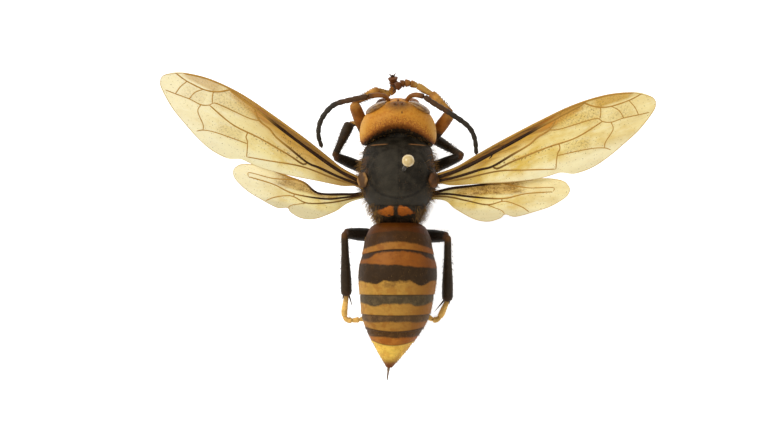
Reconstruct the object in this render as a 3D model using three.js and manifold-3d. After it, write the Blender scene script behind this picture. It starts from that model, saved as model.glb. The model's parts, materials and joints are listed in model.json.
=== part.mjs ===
// Asian giant hornet, Vespa mandarinia, as a pinned museum specimen with spread wings.
// Millimetres. +X is the animal's left, -Y is forwards, +Z is up. The origin is the centre of the
// display base's underside. Heights are counted from bodyZ, the height of the middle of the thorax.
import * as THREE from "three";
import { mergeVertices } from "three/addons/utils/BufferGeometryUtils.js";
import Module from "manifold-3d";

const wasm = await Module();
wasm.setup();

// Driving sizes
const gap = 0.3; // between neighbouring pieces
const bodyZ = 25; // middle of the thorax above the floor
const base = { width: 7.4, length: 31, height: 6.5, bevel: 0.6 };
const pin = { top: [-1.31, -8.97, 15], foot: [0.89, -4.9, -23], radius: 0.28, headRadius: 0.86 };
const wing = { thickness: 0.5, camber: 0.012, veinWidth: 0.33, veinHeight: 0.42 };
const head = { x: 5.62, y: -15.6, z: -0.5, up: 4.1, down: 4.7 };
const gaster = { height: 0.86, z: -0.5, droop: 1.5, bend: 1.25, tipY: 20.9 };

const colours = {
  orange: [0xd08a28, 0.45],
  dark: [0x2a2118, 0.4],
  rust: [0x8a4a16, 0.45],
  eye: [0x6b5038, 0.25],
  membrane: [0xe2c267, 0.3],
  pearl: [0xe8dcb0, 0.3],
  steel: [0xb9b9b4, 0.3],
  white: [0xf1efe9, 0.6],
};
const materials = Object.fromEntries(
  Object.entries(colours).map(([name, [color, roughness]]) => [
    name,
    new THREE.MeshStandardMaterial({ color, roughness, metalness: name === "steel" ? 0.9 : 0 }),
  ]),
);

const hornet = new THREE.Group();

// Closed solids from three.js geometries
function solid(geometry) {
  const bare = geometry.clone();
  bare.deleteAttribute("normal");
  bare.deleteAttribute("uv");
  const merged = mergeVertices(bare, 1e-4);
  return new wasm.Manifold(
    new wasm.Mesh({
      numProp: 3,
      vertProperties: new Float32Array(merged.attributes.position.array),
      triVerts: new Uint32Array(merged.index.array),
    }),
  );
}

function deformed(geometry, place) {
  const at = geometry.attributes.position;
  const p = new THREE.Vector3();
  for (let i = 0; i < at.count; i++) {
    p.fromBufferAttribute(at, i);
    const q = place(p);
    at.setXYZ(i, q.x, q.y, q.z);
  }
  return solid(geometry);
}

const vec = (x, y, z) => new THREE.Vector3(x, y, z);
const bodyPoint = ([x, y, z]) => vec(x, y, z + bodyZ);
const union = (...pieces) => pieces.flat().reduce((all, piece) => all.add(piece));
const without = (piece, ...others) => others.flat().reduce((all, other) => all.subtract(other), piece);

function largest(piece) {
  return piece.decompose().sort((a, b) => b.volume() - a.volume())[0];
}

function add(name, piece, material) {
  const { numProp, numVert, vertProperties, triVerts } = largest(piece).getMesh();
  const points = new Float32Array(numVert * 3);
  for (let i = 0; i < numVert; i++) {
    points.set(vertProperties.subarray(i * numProp, i * numProp + 3), i * 3);
  }
  const geometry = new THREE.BufferGeometry()
    .setAttribute("position", new THREE.BufferAttribute(points, 3))
    .setIndex(new THREE.BufferAttribute(new Uint32Array(triVerts), 1));
  geometry.computeVertexNormals();
  const mesh = new THREE.Mesh(geometry, materials[material]);
  mesh.name = name;
  hornet.add(mesh);
}

// A smooth function through [position, value] pairs
function through(pairs) {
  const slope = (i) => {
    const [a, b] = [pairs[Math.max(i - 1, 0)], pairs[Math.min(i + 1, pairs.length - 1)]];
    return (b[1] - a[1]) / (b[0] - a[0]);
  };
  return (at) => {
    let i = 0;
    while (i < pairs.length - 2 && at > pairs[i + 1][0]) i++;
    const [a, b] = [pairs[i], pairs[i + 1]];
    const span = b[0] - a[0];
    const t = THREE.MathUtils.clamp((at - a[0]) / span, 0, 1);
    const [t2, t3] = [t * t, t * t * t];
    return (
      (2 * t3 - 3 * t2 + 1) * a[1] +
      (t3 - 2 * t2 + t) * span * slope(i) +
      (3 * t2 - 2 * t3) * b[1] +
      (t3 - t2) * span * slope(i + 1)
    );
  };
}

// A tapering limb along a smooth path: one ring for each station [share of the path, radius,
// radius across]. The first and last rings close it.
function limb(path, stations, { sides = 8, grow = 0, across = vec(0, 0, 1) } = {}) {
  const curve = new THREE.CatmullRomCurve3(path.map(bodyPoint), false, "centripetal");
  const last = stations.length - 1;
  const rings = stations.map(([t, radius, radiusAcross = radius], i) => {
    const along = curve.getTangentAt(t);
    const first = along.clone().cross(across).normalize();
    const centre = curve.getPointAt(t);
    if (i === 0) centre.addScaledVector(along, -grow);
    if (i === last) centre.addScaledVector(along, grow);
    return {
      centre,
      first: first.clone().multiplyScalar(radius + grow),
      second: first.clone().cross(along).multiplyScalar(radiusAcross + grow),
    };
  });
  return deformed(new THREE.CylinderGeometry(1, 1, 1, sides, last), (p) => {
    const ring = rings[Math.round((p.y + 0.5) * last)];
    return ring.centre.clone().addScaledVector(ring.first, p.x).addScaledVector(ring.second, p.z);
  });
}

function ellipsoid(centre, radii, { grow = 0, turn = [0, 0, 0], across = 12, down = 8 } = {}) {
  const rotation = new THREE.Euler(...turn.map(THREE.MathUtils.degToRad), "ZYX");
  const middle = bodyPoint(centre);
  return deformed(new THREE.SphereGeometry(1, across, down), (p) =>
    vec(p.x * (radii[0] + grow), p.z * (radii[1] + grow), p.y * (radii[2] + grow))
      .multiply(vec(1, -1, 1))
      .applyEuler(rotation)
      .add(middle),
  );
}

function block(low, high, grow = 0) {
  const size = high.map((value, i) => value - low[i] + 2 * grow);
  const middle = high.map((value, i) => (value + low[i]) / 2);
  const box = new THREE.BoxGeometry(...size);
  const centre = bodyPoint(middle);
  return deformed(box, (p) => p.clone().add(centre));
}

// A body length lofted along Y through rings {y, x, z, width, up, down}; bow carries a ring's sides
// backwards
function bodyLoft(rings, { sides = 24, power = 0.9 } = {}) {
  const last = rings.length - 1;
  const round = (value) => Math.sign(value) * Math.abs(value) ** power;
  return deformed(new THREE.CylinderGeometry(1, 1, 1, sides, last), (p) => {
    const ring = rings[Math.round((p.y + 0.5) * last)];
    const rise = p.z > 0 ? ring.up : ring.down;
    const y = ring.y + (ring.bow ?? 0) * p.x * p.x;
    return vec(ring.x + ring.width * round(p.x), y, bodyZ + ring.z + rise * round(p.z));
  });
}

// Head: a crescent seen from above, hollowed behind to take the front of the thorax.
function headShell(grow = 0) {
  const soften = (value) => Math.sign(value) * Math.abs(value) ** 0.88;
  return deformed(new THREE.SphereGeometry(1, 24, 14), (p) => {
    const [x, y, z] = [p.x, -p.z, p.y];
    const middle = head.y + 2.35 * x * x;
    const depth = y < 0 ? 2.7 + 1.63 * Math.abs(x) ** 3 : 2.3 + 2.4 * x * x;
    const cheeks = z < 0 ? 1 - 0.2 * z * z : 1;
    return vec(
      (head.x + grow) * x * cheeks,
      middle + depth * soften(y) + grow * y,
      bodyZ + head.z + ((z > 0 ? head.up : head.down) + grow) * soften(z),
    );
  });
}

const eye = { centre: [3.0, -17.0, 0.15], radii: [1.85, 0.75, 2.45], turn: [0, 4, 26] };
function eyeShell(side, grow = 0) {
  const { centre, radii, turn } = eye;
  return ellipsoid([side * centre[0], centre[1], centre[2]], radii, {
    grow,
    turn: [turn[0], side * turn[1], side * turn[2]],
  });
}

const clypeus = { centre: [0, -17.75, -3.15], radii: [2.15, 0.95, 1.9], turn: [-8, 0, 0] };
const clypeusShell = (grow = 0) =>
  ellipsoid(clypeus.centre, clypeus.radii, { grow, turn: clypeus.turn });

function mandible(side, grow = 0) {
  const path = [
    [side * 2.75, -16.9, -4.0],
    [side * 2.6, -17.7, -5.3],
    [side * 1.7, -18.2, -6.2],
    [side * 0.4, -18.3, -6.6],
  ];
  const stations = [
    [0, 0.8, 0.65],
    [0.3, 0.95, 0.7],
    [0.6, 0.8, 0.55],
    [0.85, 0.55, 0.4],
    [1, 0.2, 0.25],
  ];
  return limb(path, stations, { grow, sides: 10, across: vec(0, 1, 0) });
}

function neck(grow = 0) {
  const path = [[0, -15.4, -0.9], [0, -11.2, -0.9]];
  return limb(path, [[0, 2.2, 1.3], [1, 2.5, 1.5]], { grow, sides: 14 });
}

function ocelli() {
  return [[0, -18.1, 2.5], [0.62, -17.6, 3.05], [-0.62, -17.6, 3.05]].map((centre) =>
    ellipsoid(centre, [0.27, 0.27, 0.27], { across: 7, down: 5 }),
  );
}

// Antennae: a scape, and a flagellum of ringed joints that curves outwards and back.
const antennae = {
  left: {
    scape: [[1.1, -17.9, 0.4], [1.75, -18.6, 1.5], [2.9, -18.8, 2.2], [4.4, -18.6, 2.5]],
    flagellum: [
      [4.4, -18.6, 2.5],
      [6.9, -18.1, 2.6],
      [9.4, -17.3, 2.5],
      [11.1, -15.3, 2.2],
      [11.55, -13.2, 1.8],
      [11.05, -11.2, 1.3],
    ],
  },
  right: {
    scape: [[-1.1, -17.9, 0.4], [-1.6, -18.55, 1.5], [-2.5, -18.85, 2.1], [-3.8, -18.6, 2.4]],
    flagellum: [
      [-3.8, -18.6, 2.4],
      [-5.2, -17.6, 2.5],
      [-7.65, -16.1, 2.4],
      [-10.1, -14.35, 2.0],
      [-11.1, -12.6, 1.6],
      [-11.4, -10.2, 1.0],
    ],
  },
};

const scape = ({ scape: path }, grow = 0) =>
  limb(path, [[0, 0.25], [0.12, 0.32], [0.6, 0.36], [0.95, 0.42], [1, 0.3]], { grow, sides: 8 });

function flagellum({ flagellum: path }, grow = 0) {
  const joints = 11;
  const stations = [[0, 0.28]];
  for (let i = 0; i < joints; i++) {
    const share = (i + 1) / joints;
    const radius = 0.39 - 0.1 * share ** 3;
    stations.push([share - 0.03, radius + 0.03]);
    if (i < joints - 1) stations.push([share, radius - 0.04]);
  }
  stations.push([1, 0.14]);
  return limb(path, stations, { grow, sides: 7 });
}

// Thorax: one shell parted into its plates
const thorax = {
  y: [-13.1, -12.7, -12.2, -11.75, -11.2, -10.2, -8.6, -7.0, -5.3, -3.8, -2.6, -1.5, -0.7],
  width: [1.7, 2.8, 3.7, 4.3, 4.85, 5.1, 5.4, 5.55, 5.45, 4.85, 4.05, 3.4, 2.9],
  up: [0.2, 1.0, 2.0, 2.8, 3.7, 4.5, 5.1, 5.2, 5.0, 4.5, 3.7, 2.3, 0.6],
  down: [1.6, 2.4, 3.1, 3.6, 4.3, 4.8, 5.1, 5.3, 5.3, 5.0, 4.5, 3.8, 2.7],
};

function thoraxShell(grow = 0) {
  const last = thorax.y.length - 1;
  const rings = thorax.y.map((y, i) => ({
    y: y + (i === 0 ? -grow : i === last ? grow : 0),
    x: 0,
    z: 0,
    width: thorax.width[i] + grow,
    up: thorax.up[i] + grow,
    down: thorax.down[i] + grow,
  }));
  return bodyLoft(rings, { sides: 24, power: 0.86 });
}

function scutumTool(grow = 0) {
  const disc = new THREE.CylinderGeometry(1, 1, 10, 26, 1);
  return deformed(disc, (p) =>
    vec(p.x * (4.4 + grow), -7.5 - p.z * (3.5 + grow), bodyZ + 1.9 - grow + 5 + p.y),
  );
}

const pronotumTool = (grow = 0) => block([-8, -14, -2.2], [8, -8.4, 8], grow);
const scutellumTool = (grow = 0) => block([-3.3, -6, 1.6], [3.3, -2.75, 8], grow);
const propodeumTool = (grow = 0) => block([-8, -2.75, -8], [8, 2, 8], grow);

const tegula = (side, grow = 0) =>
  ellipsoid([side * 5.15, -6.5, 3.35], [0.85, 1.15, 0.5], {
    grow,
    turn: [0, side * 32, 0],
    across: 12,
    down: 8,
  });

// Gaster: six overlapping rings, cut at these places along its length
const segmentEnds = [-0.35, 3.5, 10.1, 13.1, 15.5, 17.6, gaster.tipY];
const gasterWidth = through([
  [-0.35, 2.9],
  [0.0, 3.75],
  [0.8, 4.4],
  [3.4, 5.2],
  [5, 5.62],
  [7, 5.75],
  [10.5, 5.4],
  [14, 4.8],
  [16.3, 3.75],
  [17.6, 3.0],
  [19.0, 2.0],
  [20.2, 1.0],
  [gaster.tipY, 0.4],
]);
const gasterBow = through([
  [-0.35, 0.3],
  [3.65, 0.75],
  [10.2, 0],
  [15.5, -0.25],
  [17.6, -0.4],
  [gaster.tipY, 0],
]);

function gasterSegment(number, grow = 0) {
  const [front, back] = [segmentEnds[number] + gap / 2, segmentEnds[number + 1] - gap / 2];
  const last = number === 5;
  const shares = number === 0 ? [0, 0.06, 0.15, 0.3, 0.6, 0.9, 1] : [0, 0.12, 0.5, 0.88, 1];
  const rings = shares.map((share) => {
    const y = front + (back - front) * share;
    const width = gasterWidth(y) + (last ? 0 : 0.16 * share - (share === 1 ? 0.1 : 0.05));
    const along = y / gaster.tipY;
    return {
      y: y + (share === 0 ? -grow : share === 1 ? grow : 0),
      bow: gasterBow(y),
      x: gaster.bend * Math.abs(along) ** 3,
      z: gaster.z - gaster.droop * along * along,
      width: width + grow,
      up: width * gaster.height + grow,
      down: width * gaster.height * 0.94 + grow,
    };
  });
  return bodyLoft(rings, { sides: 22, power: 0.95 });
}

const petiole = () =>
  limb([[0, -1.6, -1.3], [0, 0.8, -1.3]], [[0, 0.75], [0.5, 0.7], [1, 1.1]], { sides: 12 });

function sting() {
  const root = [gaster.bend, gaster.tipY - 0.8, gaster.z - gaster.droop];
  const tip = [gaster.bend + 0.35, gaster.tipY + 2.0, gaster.z - gaster.droop - 0.25];
  return limb([root, tip], [[0, 0.26], [0.5, 0.22], [1, 0.06]], { sides: 7 });
}

// Legs: the joints of each leg as points, on the animal's left and right as the specimen holds them
const legs = {
  fore_left: {
    coxa: [[1.5, -9.6, -3.6], [2.5, -10.6, -5.2], [3.7, -10.9, -4.9]],
    knee: [6.5, -17.9, -1.9],
    ankle: [2.9, -19.9, -4.6],
    tarsus: [[1.3, -19.5, -5.5], [0.6, -20.4, -5.2], [0.75, -21.9, -4.6]],
    femurRadius: 0.94,
    tibiaRadius: 0.66,
    footRadius: 0.52,
    spur: 0.9,
  },
  fore_right: {
    coxa: [[-1.5, -9.6, -3.6], [-2.5, -10.6, -5.2], [-3.7, -10.9, -4.9]],
    knee: [-7.8, -16.5, -1.7],
    ankle: [-4.95, -19.3, -3.4],
    tarsus: [[-2.9, -20.5, -3.5], [-1.1, -20.9, -3.3], [0.35, -20.3, -3.2]],
    femurRadius: 0.94,
    tibiaRadius: 0.66,
    footRadius: 0.52,
    spur: 0.9,
  },
  mid_left: {
    coxa: [[1.9, -5.8, -4.2], [3.0, -6.8, -5.9], [3.9, -7.9, -5.6]],
    knee: [9.3, -10.1, -2.6],
    ankle: [7.1, -15.0, -4.6],
    tarsus: [[5.3, -15.0, -5.9], [3.2, -14.3, -6.9], [0.95, -13.3, -7.4]],
    femurRadius: 0.86,
    tibiaRadius: 0.78,
    footRadius: 0.46,
    spur: 1.5,
  },
  mid_right: {
    coxa: [[-1.9, -5.8, -4.2], [-3.0, -6.8, -5.9], [-3.9, -7.9, -5.6]],
    knee: [-9.45, -10.2, -2.6],
    ankle: [-5.3, -12.9, -6.2],
    tarsus: [[-4.4, -14.4, -6.7], [-2.9, -14.4, -6.9], [-0.95, -13.5, -7.4]],
    femurRadius: 0.86,
    tibiaRadius: 0.78,
    footRadius: 0.46,
    spur: 1.5,
  },
  hind_left: {
    coxa: [[1.8, -2.9, -3.8], [2.5, -1.0, -5.6], [2.9, 1.6, -6.1]],
    knee: [7.85, 1.2, -2.9],
    ankle: [7.6, 10.4, -4.9],
    tarsus: [[7.9, 13.4, -5.9], [6.9, 14.2, -6.2], [3.7, 13.7, -6.6]],
    femurRadius: 1.0,
    tibiaRadius: 0.82,
    footRadius: 0.48,
    spur: 2.0,
  },
  hind_right: {
    coxa: [[-1.8, -2.9, -3.8], [-2.5, -1.0, -5.6], [-2.9, 1.6, -6.1]],
    knee: [-7.35, 1.7, -2.9],
    ankle: [-7.35, 11.2, -4.9],
    tarsus: [[-6.2, 13.7, -5.9], [-5.1, 14.0, -6.2], [-3.0, 12.6, -6.6]],
    femurRadius: 1.0,
    tibiaRadius: 0.82,
    footRadius: 0.48,
    spur: 2.0,
  },
};

const towards = (from, to, length) => {
  const [a, b] = [vec(...from), vec(...to)];
  return a.addScaledVector(b.sub(a).normalize(), length).toArray();
};

const coxa = ({ coxa: path }, grow = 0) =>
  limb(path, [[0, 1.0], [0.35, 1.05], [0.62, 0.8], [0.7, 0.55], [0.9, 0.55], [1, 0.4]], { grow });

function femur({ coxa: hip, knee, femurRadius: r }, grow = 0) {
  const stations = [[0, 0.3], [0.08, 0.5], [0.35, r], [0.6, r * 0.96], [0.93, r * 0.72], [1, r / 2]];
  return limb([hip[2], knee], stations, { grow, across: vec(0, 0.3, 1) });
}

function tibia({ knee, ankle, tarsus, tibiaRadius: r, spur }, grow = 0) {
  const start = towards(knee, ankle, -0.1);
  const stations = [[0, r / 2], [0.07, r * 0.64], [0.35, r * 0.7], [0.75, r], [0.96, r], [1, r * 0.7]];
  const shin = limb([start, ankle], stations, { grow, across: vec(0, 0.3, 1) });
  const root = towards(ankle, knee, 0.5);
  const inwards = -Math.sign(ankle[0]);
  const spurs = [[1, 1.1], [0.35, -0.55]].map(([share, lean]) => {
    const beyond = towards(ankle, tarsus[0], spur * share);
    const tip = [beyond[0] + inwards * lean, beyond[1], beyond[2] - 0.4];
    return limb([root, tip], [[0, 0.22], [0.5, 0.2], [1, 0.05]], { grow, sides: 5 });
  });
  return union(shin, spurs);
}

function tarsus({ ankle, tarsus: path, footRadius: r }) {
  const joints = [0, 0.42, 0.6, 0.74, 0.84, 1];
  const stations = [[0, r * 0.72]];
  joints.slice(1).forEach((end, i) => {
    const start = joints[i];
    stations.push([start + (end - start) * 0.82, r * (1 - 0.05 * i)]);
    if (i < 4) stations.push([end, r * 0.66]);
  });
  stations.push([1, 0.2]);
  const foot = limb([ankle, ...path], stations, { sides: 6 });
  const [before, end] = path.slice(-2);
  const reach = vec(...end).sub(vec(...before)).normalize();
  const sideways = reach.clone().cross(vec(0, 0, 1)).normalize();
  const claws = [-1, 1].map((lean) => {
    const along = (forward, out, drop) =>
      vec(...end)
        .addScaledVector(reach, forward)
        .addScaledVector(sideways, out * lean)
        .add(vec(0, 0, -drop))
        .toArray();
    const hook = [along(-0.2, 0.05, 0), along(0.35, 0.35, 0), along(0.55, 0.6, 0.45)];
    return limb(hook, [[0, 0.17], [0.5, 0.15], [1, 0.04]], { sides: 4 });
  });
  return union(foot, claws);
}

// Wings: a cambered membrane cut to its outline, with the main veins raised on both faces.
// Points are [along the span from the root, towards the leading edge].
const foreOutline = [
  [-2.4, 0.5], [0, 0.55], [2.95, 0.57], [6.24, 1.25], [11.2, 2.28], [16.6, 3.15], [22.2, 3.81],
  [27.3, 3.66], [31.4, 2.65], [33.4, 1.3], [33.76, 0.05], [33.1, -0.75], [30.3, -2.7],
  [27.2, -4.12], [24.7, -5.1], [22.1, -5.8], [19.3, -5.85], [17.3, -5.0], [14.2, -4.87],
  [10.5, -4.12], [5.7, -2.8], [1.9, -1.78], [0, -0.9], [-2.4, -0.8],
];
const foreVeins = {
  costa: [
    [-1.5, 0.5], [2.95, 0.5], [6.24, 1.15], [11.2, 2.15], [16.6, 3.0], [22.2, 3.65], [27.3, 3.5],
    [31.2, 2.55],
  ],
  radius: [[-1.5, 0.1], [4.1, 0.15], [9.45, 0.95], [14.9, 1.93], [19.5, 2.81], [23.9, 3.5]],
  media: [
    [-1.5, -0.3], [3.1, -0.77], [8.3, -0.96], [11.6, -0.28], [15.85, 0.98], [17.8, 1.45],
    [19.4, 2.68],
  ],
  cubitus: [[8.3, -0.96], [8.9, -1.49], [11.3, -1.21], [16.5, -0.9], [21.1, -0.89], [25.55, 0.14]],
  discoidal: [[17.9, 1.43], [19.4, 1.06], [23.8, 0.92], [25.55, 0.14], [28.6, -0.36], [32.2, -0.76]],
  marginal: [[23.9, 3.5], [24.9, 2.72], [25.9, 2.19], [27.45, 1.82], [30.1, 1.81], [31.9, 2.2]],
  crossFirst: [[25.9, 2.19], [25.7, 1.4], [25.4, 0.4]],
  crossSecond: [[27.45, 1.82], [28.3, 0.89], [28.6, -0.36]],
  crossThird: [[30.1, 1.81], [30.6, 0.62], [30.8, -0.6]],
  recurrent: [[26.7, -0.1], [26.6, -1.49], [25.0, -2.86], [24.6, -3.62]],
  hindCubitus: [[17.8, -2.4], [20.7, -2.81], [24.6, -3.62], [25.4, -4.2]],
  cubitalCross: [[18.5, -0.9], [18.4, -1.67], [17.8, -2.4], [16.9, -4.3]],
  anal: [[-1.5, -0.6], [3.6, -1.31], [8.8, -1.89], [13.2, -3.18], [16.9, -4.3]],
};
const hindLeading = {
  left: [[-2.4, 0.3], [0.5, 0.35], [3.0, 0.5], [6.9, 0.1], [9.4, 1.0], [12.0, 1.25]],
  right: [[-2.4, 0.3], [0.5, 0.35], [3.0, 0.8], [6.2, 1.05], [10.9, 1.35]],
};
const hindTrailing = [
  [14.8, 1.6], [17.3, 1.52], [19.2, 0.99], [20.0, -0.1], [19.4, -1.25], [17.2, -2.5], [14.9, -3.2],
  [11.9, -3.85], [10.4, -3.45], [9.6, -4.0], [7.8, -4.4], [5.7, -3.9], [3.1, -2.3], [1.4, -0.95],
  [-2.4, -0.7],
];
const hindVeins = {
  media: [
    [-1.5, -0.1], [2.8, -0.15], [5.5, -0.62], [10.0, -1.1], [13.2, -0.5], [15.1, -0.4],
    [17.4, -0.2],
  ],
  cubitus: [
    [-1.5, -0.35], [2.0, -0.5], [4.8, -1.15], [7.8, -1.91], [10.0, -1.5], [12.9, -2.48],
    [13.7, -3.15],
  ],
  cross: [[10.0, -1.1], [10.0, -1.55]],
  radial: [[10.4, 1.0], [13.9, 0.3], [17.4, 0.3], [17.4, -0.2]],
  anal: [[7.8, -1.91], [9.0, -2.44], [10.1, -3.2]],
};

const wings = {
  left: {
    side: 1,
    dihedral: 15,
    pitch: 7,
    fore: { x: 5.7, y: -6.35, sweep: 26.5, size: 0.958 },
    hind: { x: 5.7, y: -3.0, sweep: 15.6, size: 0.965, bend: 1.56 },
    drop: 2.3,
  },
  right: {
    side: -1,
    dihedral: 6,
    pitch: 3,
    fore: { x: -5.6, y: -6.8, sweep: 18.5, size: 0.985 },
    hind: { x: -5.1, y: -4.5, sweep: 2.5, size: 0.995, bend: 0 },
    drop: 1.8,
  },
};
const wingRootZ = 2.5;
const camberAt = (c) => -wing.camber * c * c;

function membrane(outline) {
  const curve = new THREE.SplineCurve(outline.map(([s, c]) => new THREE.Vector2(s, c)));
  const plan = new THREE.Shape(curve.getPoints(Math.round(outline.length * 1.4)));
  const cut = (shape, depth) =>
    new THREE.ExtrudeGeometry(shape, { depth, bevelEnabled: false, steps: 1 });
  const slab = solid(cut(plan, 6)).translate([0, 0, -3]);
  const half = wing.thickness / 2;
  const stations = [-6.5, -3.9, -1.4, 1.1, 4.6];
  const profile = new THREE.Shape([
    ...stations.map((c) => new THREE.Vector2(c, camberAt(c) - half)),
    ...stations.toReversed().map((c) => new THREE.Vector2(c, camberAt(c) + half)),
  ]);
  const sheet = deformed(cut(profile, 40), (p) => vec(p.z - 4, p.x, p.y));
  return slab.intersect(sheet);
}

function vein(points, thick) {
  const path = points.map(([s, c]) => [s, c, camberAt(c) - bodyZ]);
  const steps = points.length - 1;
  const stations = Array.from({ length: steps + 1 }, (_, i) => [
    i / steps,
    wing.veinWidth * thick * (1 - 0.3 * (i / steps)),
    wing.veinHeight,
  ]);
  return limb(path, stations, { sides: 4 });
}

function wingSolid(outline, veins, { side, dihedral, pitch }, { x, y, sweep, size, bend = 0 }, z) {
  // The root of a swept hindwing curves forwards to the thorax
  const bent = (points) => points.map(([s, c]) => [s, c + bend * Math.max(0, 1 - s / 6) ** 2]);
  const ribs = Object.entries(veins).map(([name, points]) =>
    vein(bent(points), { costa: 1.6, lead: 1.5, radius: 1.5 }[name] ?? 1),
  );
  const rad = THREE.MathUtils.degToRad;
  const place = new THREE.Matrix4()
    .makeTranslation(x, y, bodyZ + z)
    .multiply(new THREE.Matrix4().makeScale(side, -1, 1))
    .multiply(new THREE.Matrix4().makeRotationZ(rad(sweep)))
    .multiply(new THREE.Matrix4().makeRotationY(rad(-dihedral)))
    .multiply(new THREE.Matrix4().makeRotationX(rad(pitch)))
    .multiply(new THREE.Matrix4().makeScale(size, size, 1));
  return union(membrane(bent(outline)), ribs).transform(place.elements);
}

// The pieces, each cut clear of what it grows from
const pinShaft = (grow = 0) =>
  limb([pin.top, pin.foot], [[0, pin.radius], [1, pin.radius]], { grow, sides: 10 });
const thoraxBody = thoraxShell();
const thoraxClear = thoraxShell(gap);
const headClear = headShell(gap + 0.25);

add(
  "head",
  without(
    union(headShell(), ocelli()),
    eyeShell(1, gap * 1.25),
    eyeShell(-1, gap * 1.25),
    clypeusShell(gap),
    neck(gap),
  ),
  "orange",
);
add("clypeus", clypeusShell(), "orange");
add("neck", without(neck(), thoraxClear), "dark");

add(
  "pronotum",
  without(thoraxBody.intersect(pronotumTool()), scutumTool(gap), headClear, neck(gap), pinShaft(gap)),
  "dark",
);
add("mesoscutum", without(thoraxBody.intersect(scutumTool()), headClear, pinShaft(gap)), "dark");
add("scutellum", without(thoraxBody.intersect(scutellumTool()), scutumTool(gap)), "dark");
add(
  "propodeum",
  without(thoraxBody.intersect(propodeumTool()), scutellumTool(gap), scutumTool(gap)),
  "rust",
);
add(
  "mesopleura",
  without(
    thoraxBody,
    pronotumTool(gap),
    scutumTool(gap),
    scutellumTool(gap),
    propodeumTool(gap),
    tegula(1, gap),
    tegula(-1, gap),
    pinShaft(gap),
  ),
  "dark",
);

for (const [name, side] of [["left", 1], ["right", -1]]) {
  const bony = [headClear, clypeusShell(gap)];
  add(`eye_${name}`, eyeShell(side), "eye");
  const jaw = without(mandible(side), bony, block([-0.15, -30, -12], [0.15, 0, 0]));
  add(`mandible_${name}`, jaw, "orange");
  const horn = antennae[name];
  add(`antenna_${name}_scape`, without(scape(horn), headClear, eyeShell(side, gap)), "orange");
  add(`antenna_${name}_flagellum`, without(flagellum(horn), scape(horn, gap)), "dark");
  add(`tegula_${name}`, without(tegula(side), scutumTool(gap), pronotumTool(gap)), "rust");

  const set = wings[name];
  const hindOutline = [...hindLeading[name], ...hindTrailing];
  const lead = hindLeading[name].slice(1).map(([s, c]) => [s - 0.5, c - 0.12]);
  const clear = [thoraxClear, tegula(side, gap), pinShaft(gap)];
  const fore = wingSolid(foreOutline, foreVeins, set, set.fore, wingRootZ);
  const hind = wingSolid(
    hindOutline,
    { lead: [...lead, [14.8, 1.45]], ...hindVeins },
    set,
    set.hind,
    wingRootZ - set.drop,
  );
  add(`forewing_${name}`, without(fore, clear), "membrane");
  add(`hindwing_${name}`, without(hind, clear), "membrane");
}

add("gaster_1", without(union(gasterSegment(0), petiole()), thoraxClear), "rust");
for (let number = 1; number < 6; number++) {
  const segment = gasterSegment(number);
  add(`gaster_${number + 1}`, segment, number === 5 ? "orange" : "dark");
}
add("sting", without(sting(), gasterSegment(5, gap)), "dark");

for (const [name, leg] of Object.entries(legs)) {
  const blocked = [thoraxClear, headClear];
  add(`leg_${name}_coxa`, without(coxa(leg), blocked), "dark");
  add(`leg_${name}_femur`, without(femur(leg), blocked, coxa(leg, gap)), "dark");
  add(`leg_${name}_tibia`, without(tibia(leg), femur(leg, gap)), "rust");
  add(`leg_${name}_tarsus`, without(tarsus(leg), tibia(leg, gap)), "orange");
}

// Stand: the insect pin through the thorax, and a plain block that it stands in
add(
  "stand_pin",
  union(pinShaft(), ellipsoid(pin.top, Array(3).fill(pin.headRadius), { across: 14, down: 9 })),
  "steel",
);

function standBase() {
  const { width, length, height, bevel } = base;
  const radius = width / 2 - bevel;
  const plan = new THREE.Shape();
  const straight = length / 2 - width / 2;
  plan.absarc(0, straight, radius, 0, Math.PI, false);
  plan.absarc(0, -straight, radius, Math.PI, 2 * Math.PI, false);
  const geometry = new THREE.ExtrudeGeometry(plan, {
    depth: height - 2 * bevel,
    bevelEnabled: true,
    bevelThickness: bevel,
    bevelSize: bevel,
    bevelSegments: 1,
    curveSegments: 10,
  });
  return solid(geometry).translate([0, 0, bevel]);
}
add("stand_base", without(standBase(), pinShaft(gap)), "white");

export default hornet;
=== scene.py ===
import math

import bpy
import numpy as np
from mathutils import Euler, Matrix, Vector

import json

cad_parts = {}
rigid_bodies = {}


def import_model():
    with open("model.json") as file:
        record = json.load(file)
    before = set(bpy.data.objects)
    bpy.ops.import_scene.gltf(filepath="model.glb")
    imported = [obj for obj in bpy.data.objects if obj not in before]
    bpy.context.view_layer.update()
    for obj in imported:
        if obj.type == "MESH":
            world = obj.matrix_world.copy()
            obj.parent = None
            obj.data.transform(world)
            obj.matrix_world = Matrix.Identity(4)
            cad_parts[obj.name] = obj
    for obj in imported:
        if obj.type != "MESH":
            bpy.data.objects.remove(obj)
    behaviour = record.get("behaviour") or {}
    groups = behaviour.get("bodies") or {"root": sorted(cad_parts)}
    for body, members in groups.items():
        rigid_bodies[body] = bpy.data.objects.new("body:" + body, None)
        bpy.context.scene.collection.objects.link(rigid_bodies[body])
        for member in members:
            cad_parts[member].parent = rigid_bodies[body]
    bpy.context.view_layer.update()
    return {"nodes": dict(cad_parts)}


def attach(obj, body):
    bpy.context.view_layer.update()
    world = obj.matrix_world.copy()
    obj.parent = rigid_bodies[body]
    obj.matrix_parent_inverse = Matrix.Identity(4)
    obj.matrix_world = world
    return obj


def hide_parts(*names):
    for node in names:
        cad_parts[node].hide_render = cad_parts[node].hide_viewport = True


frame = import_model()
print("frame loaded:", len(frame["nodes"]), "nodes")

mm = 0.001
bodyZ = 25.0  # the middle of the thorax above the floor, in mm; other heights are counted from it
rng = np.random.default_rng(7)


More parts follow.
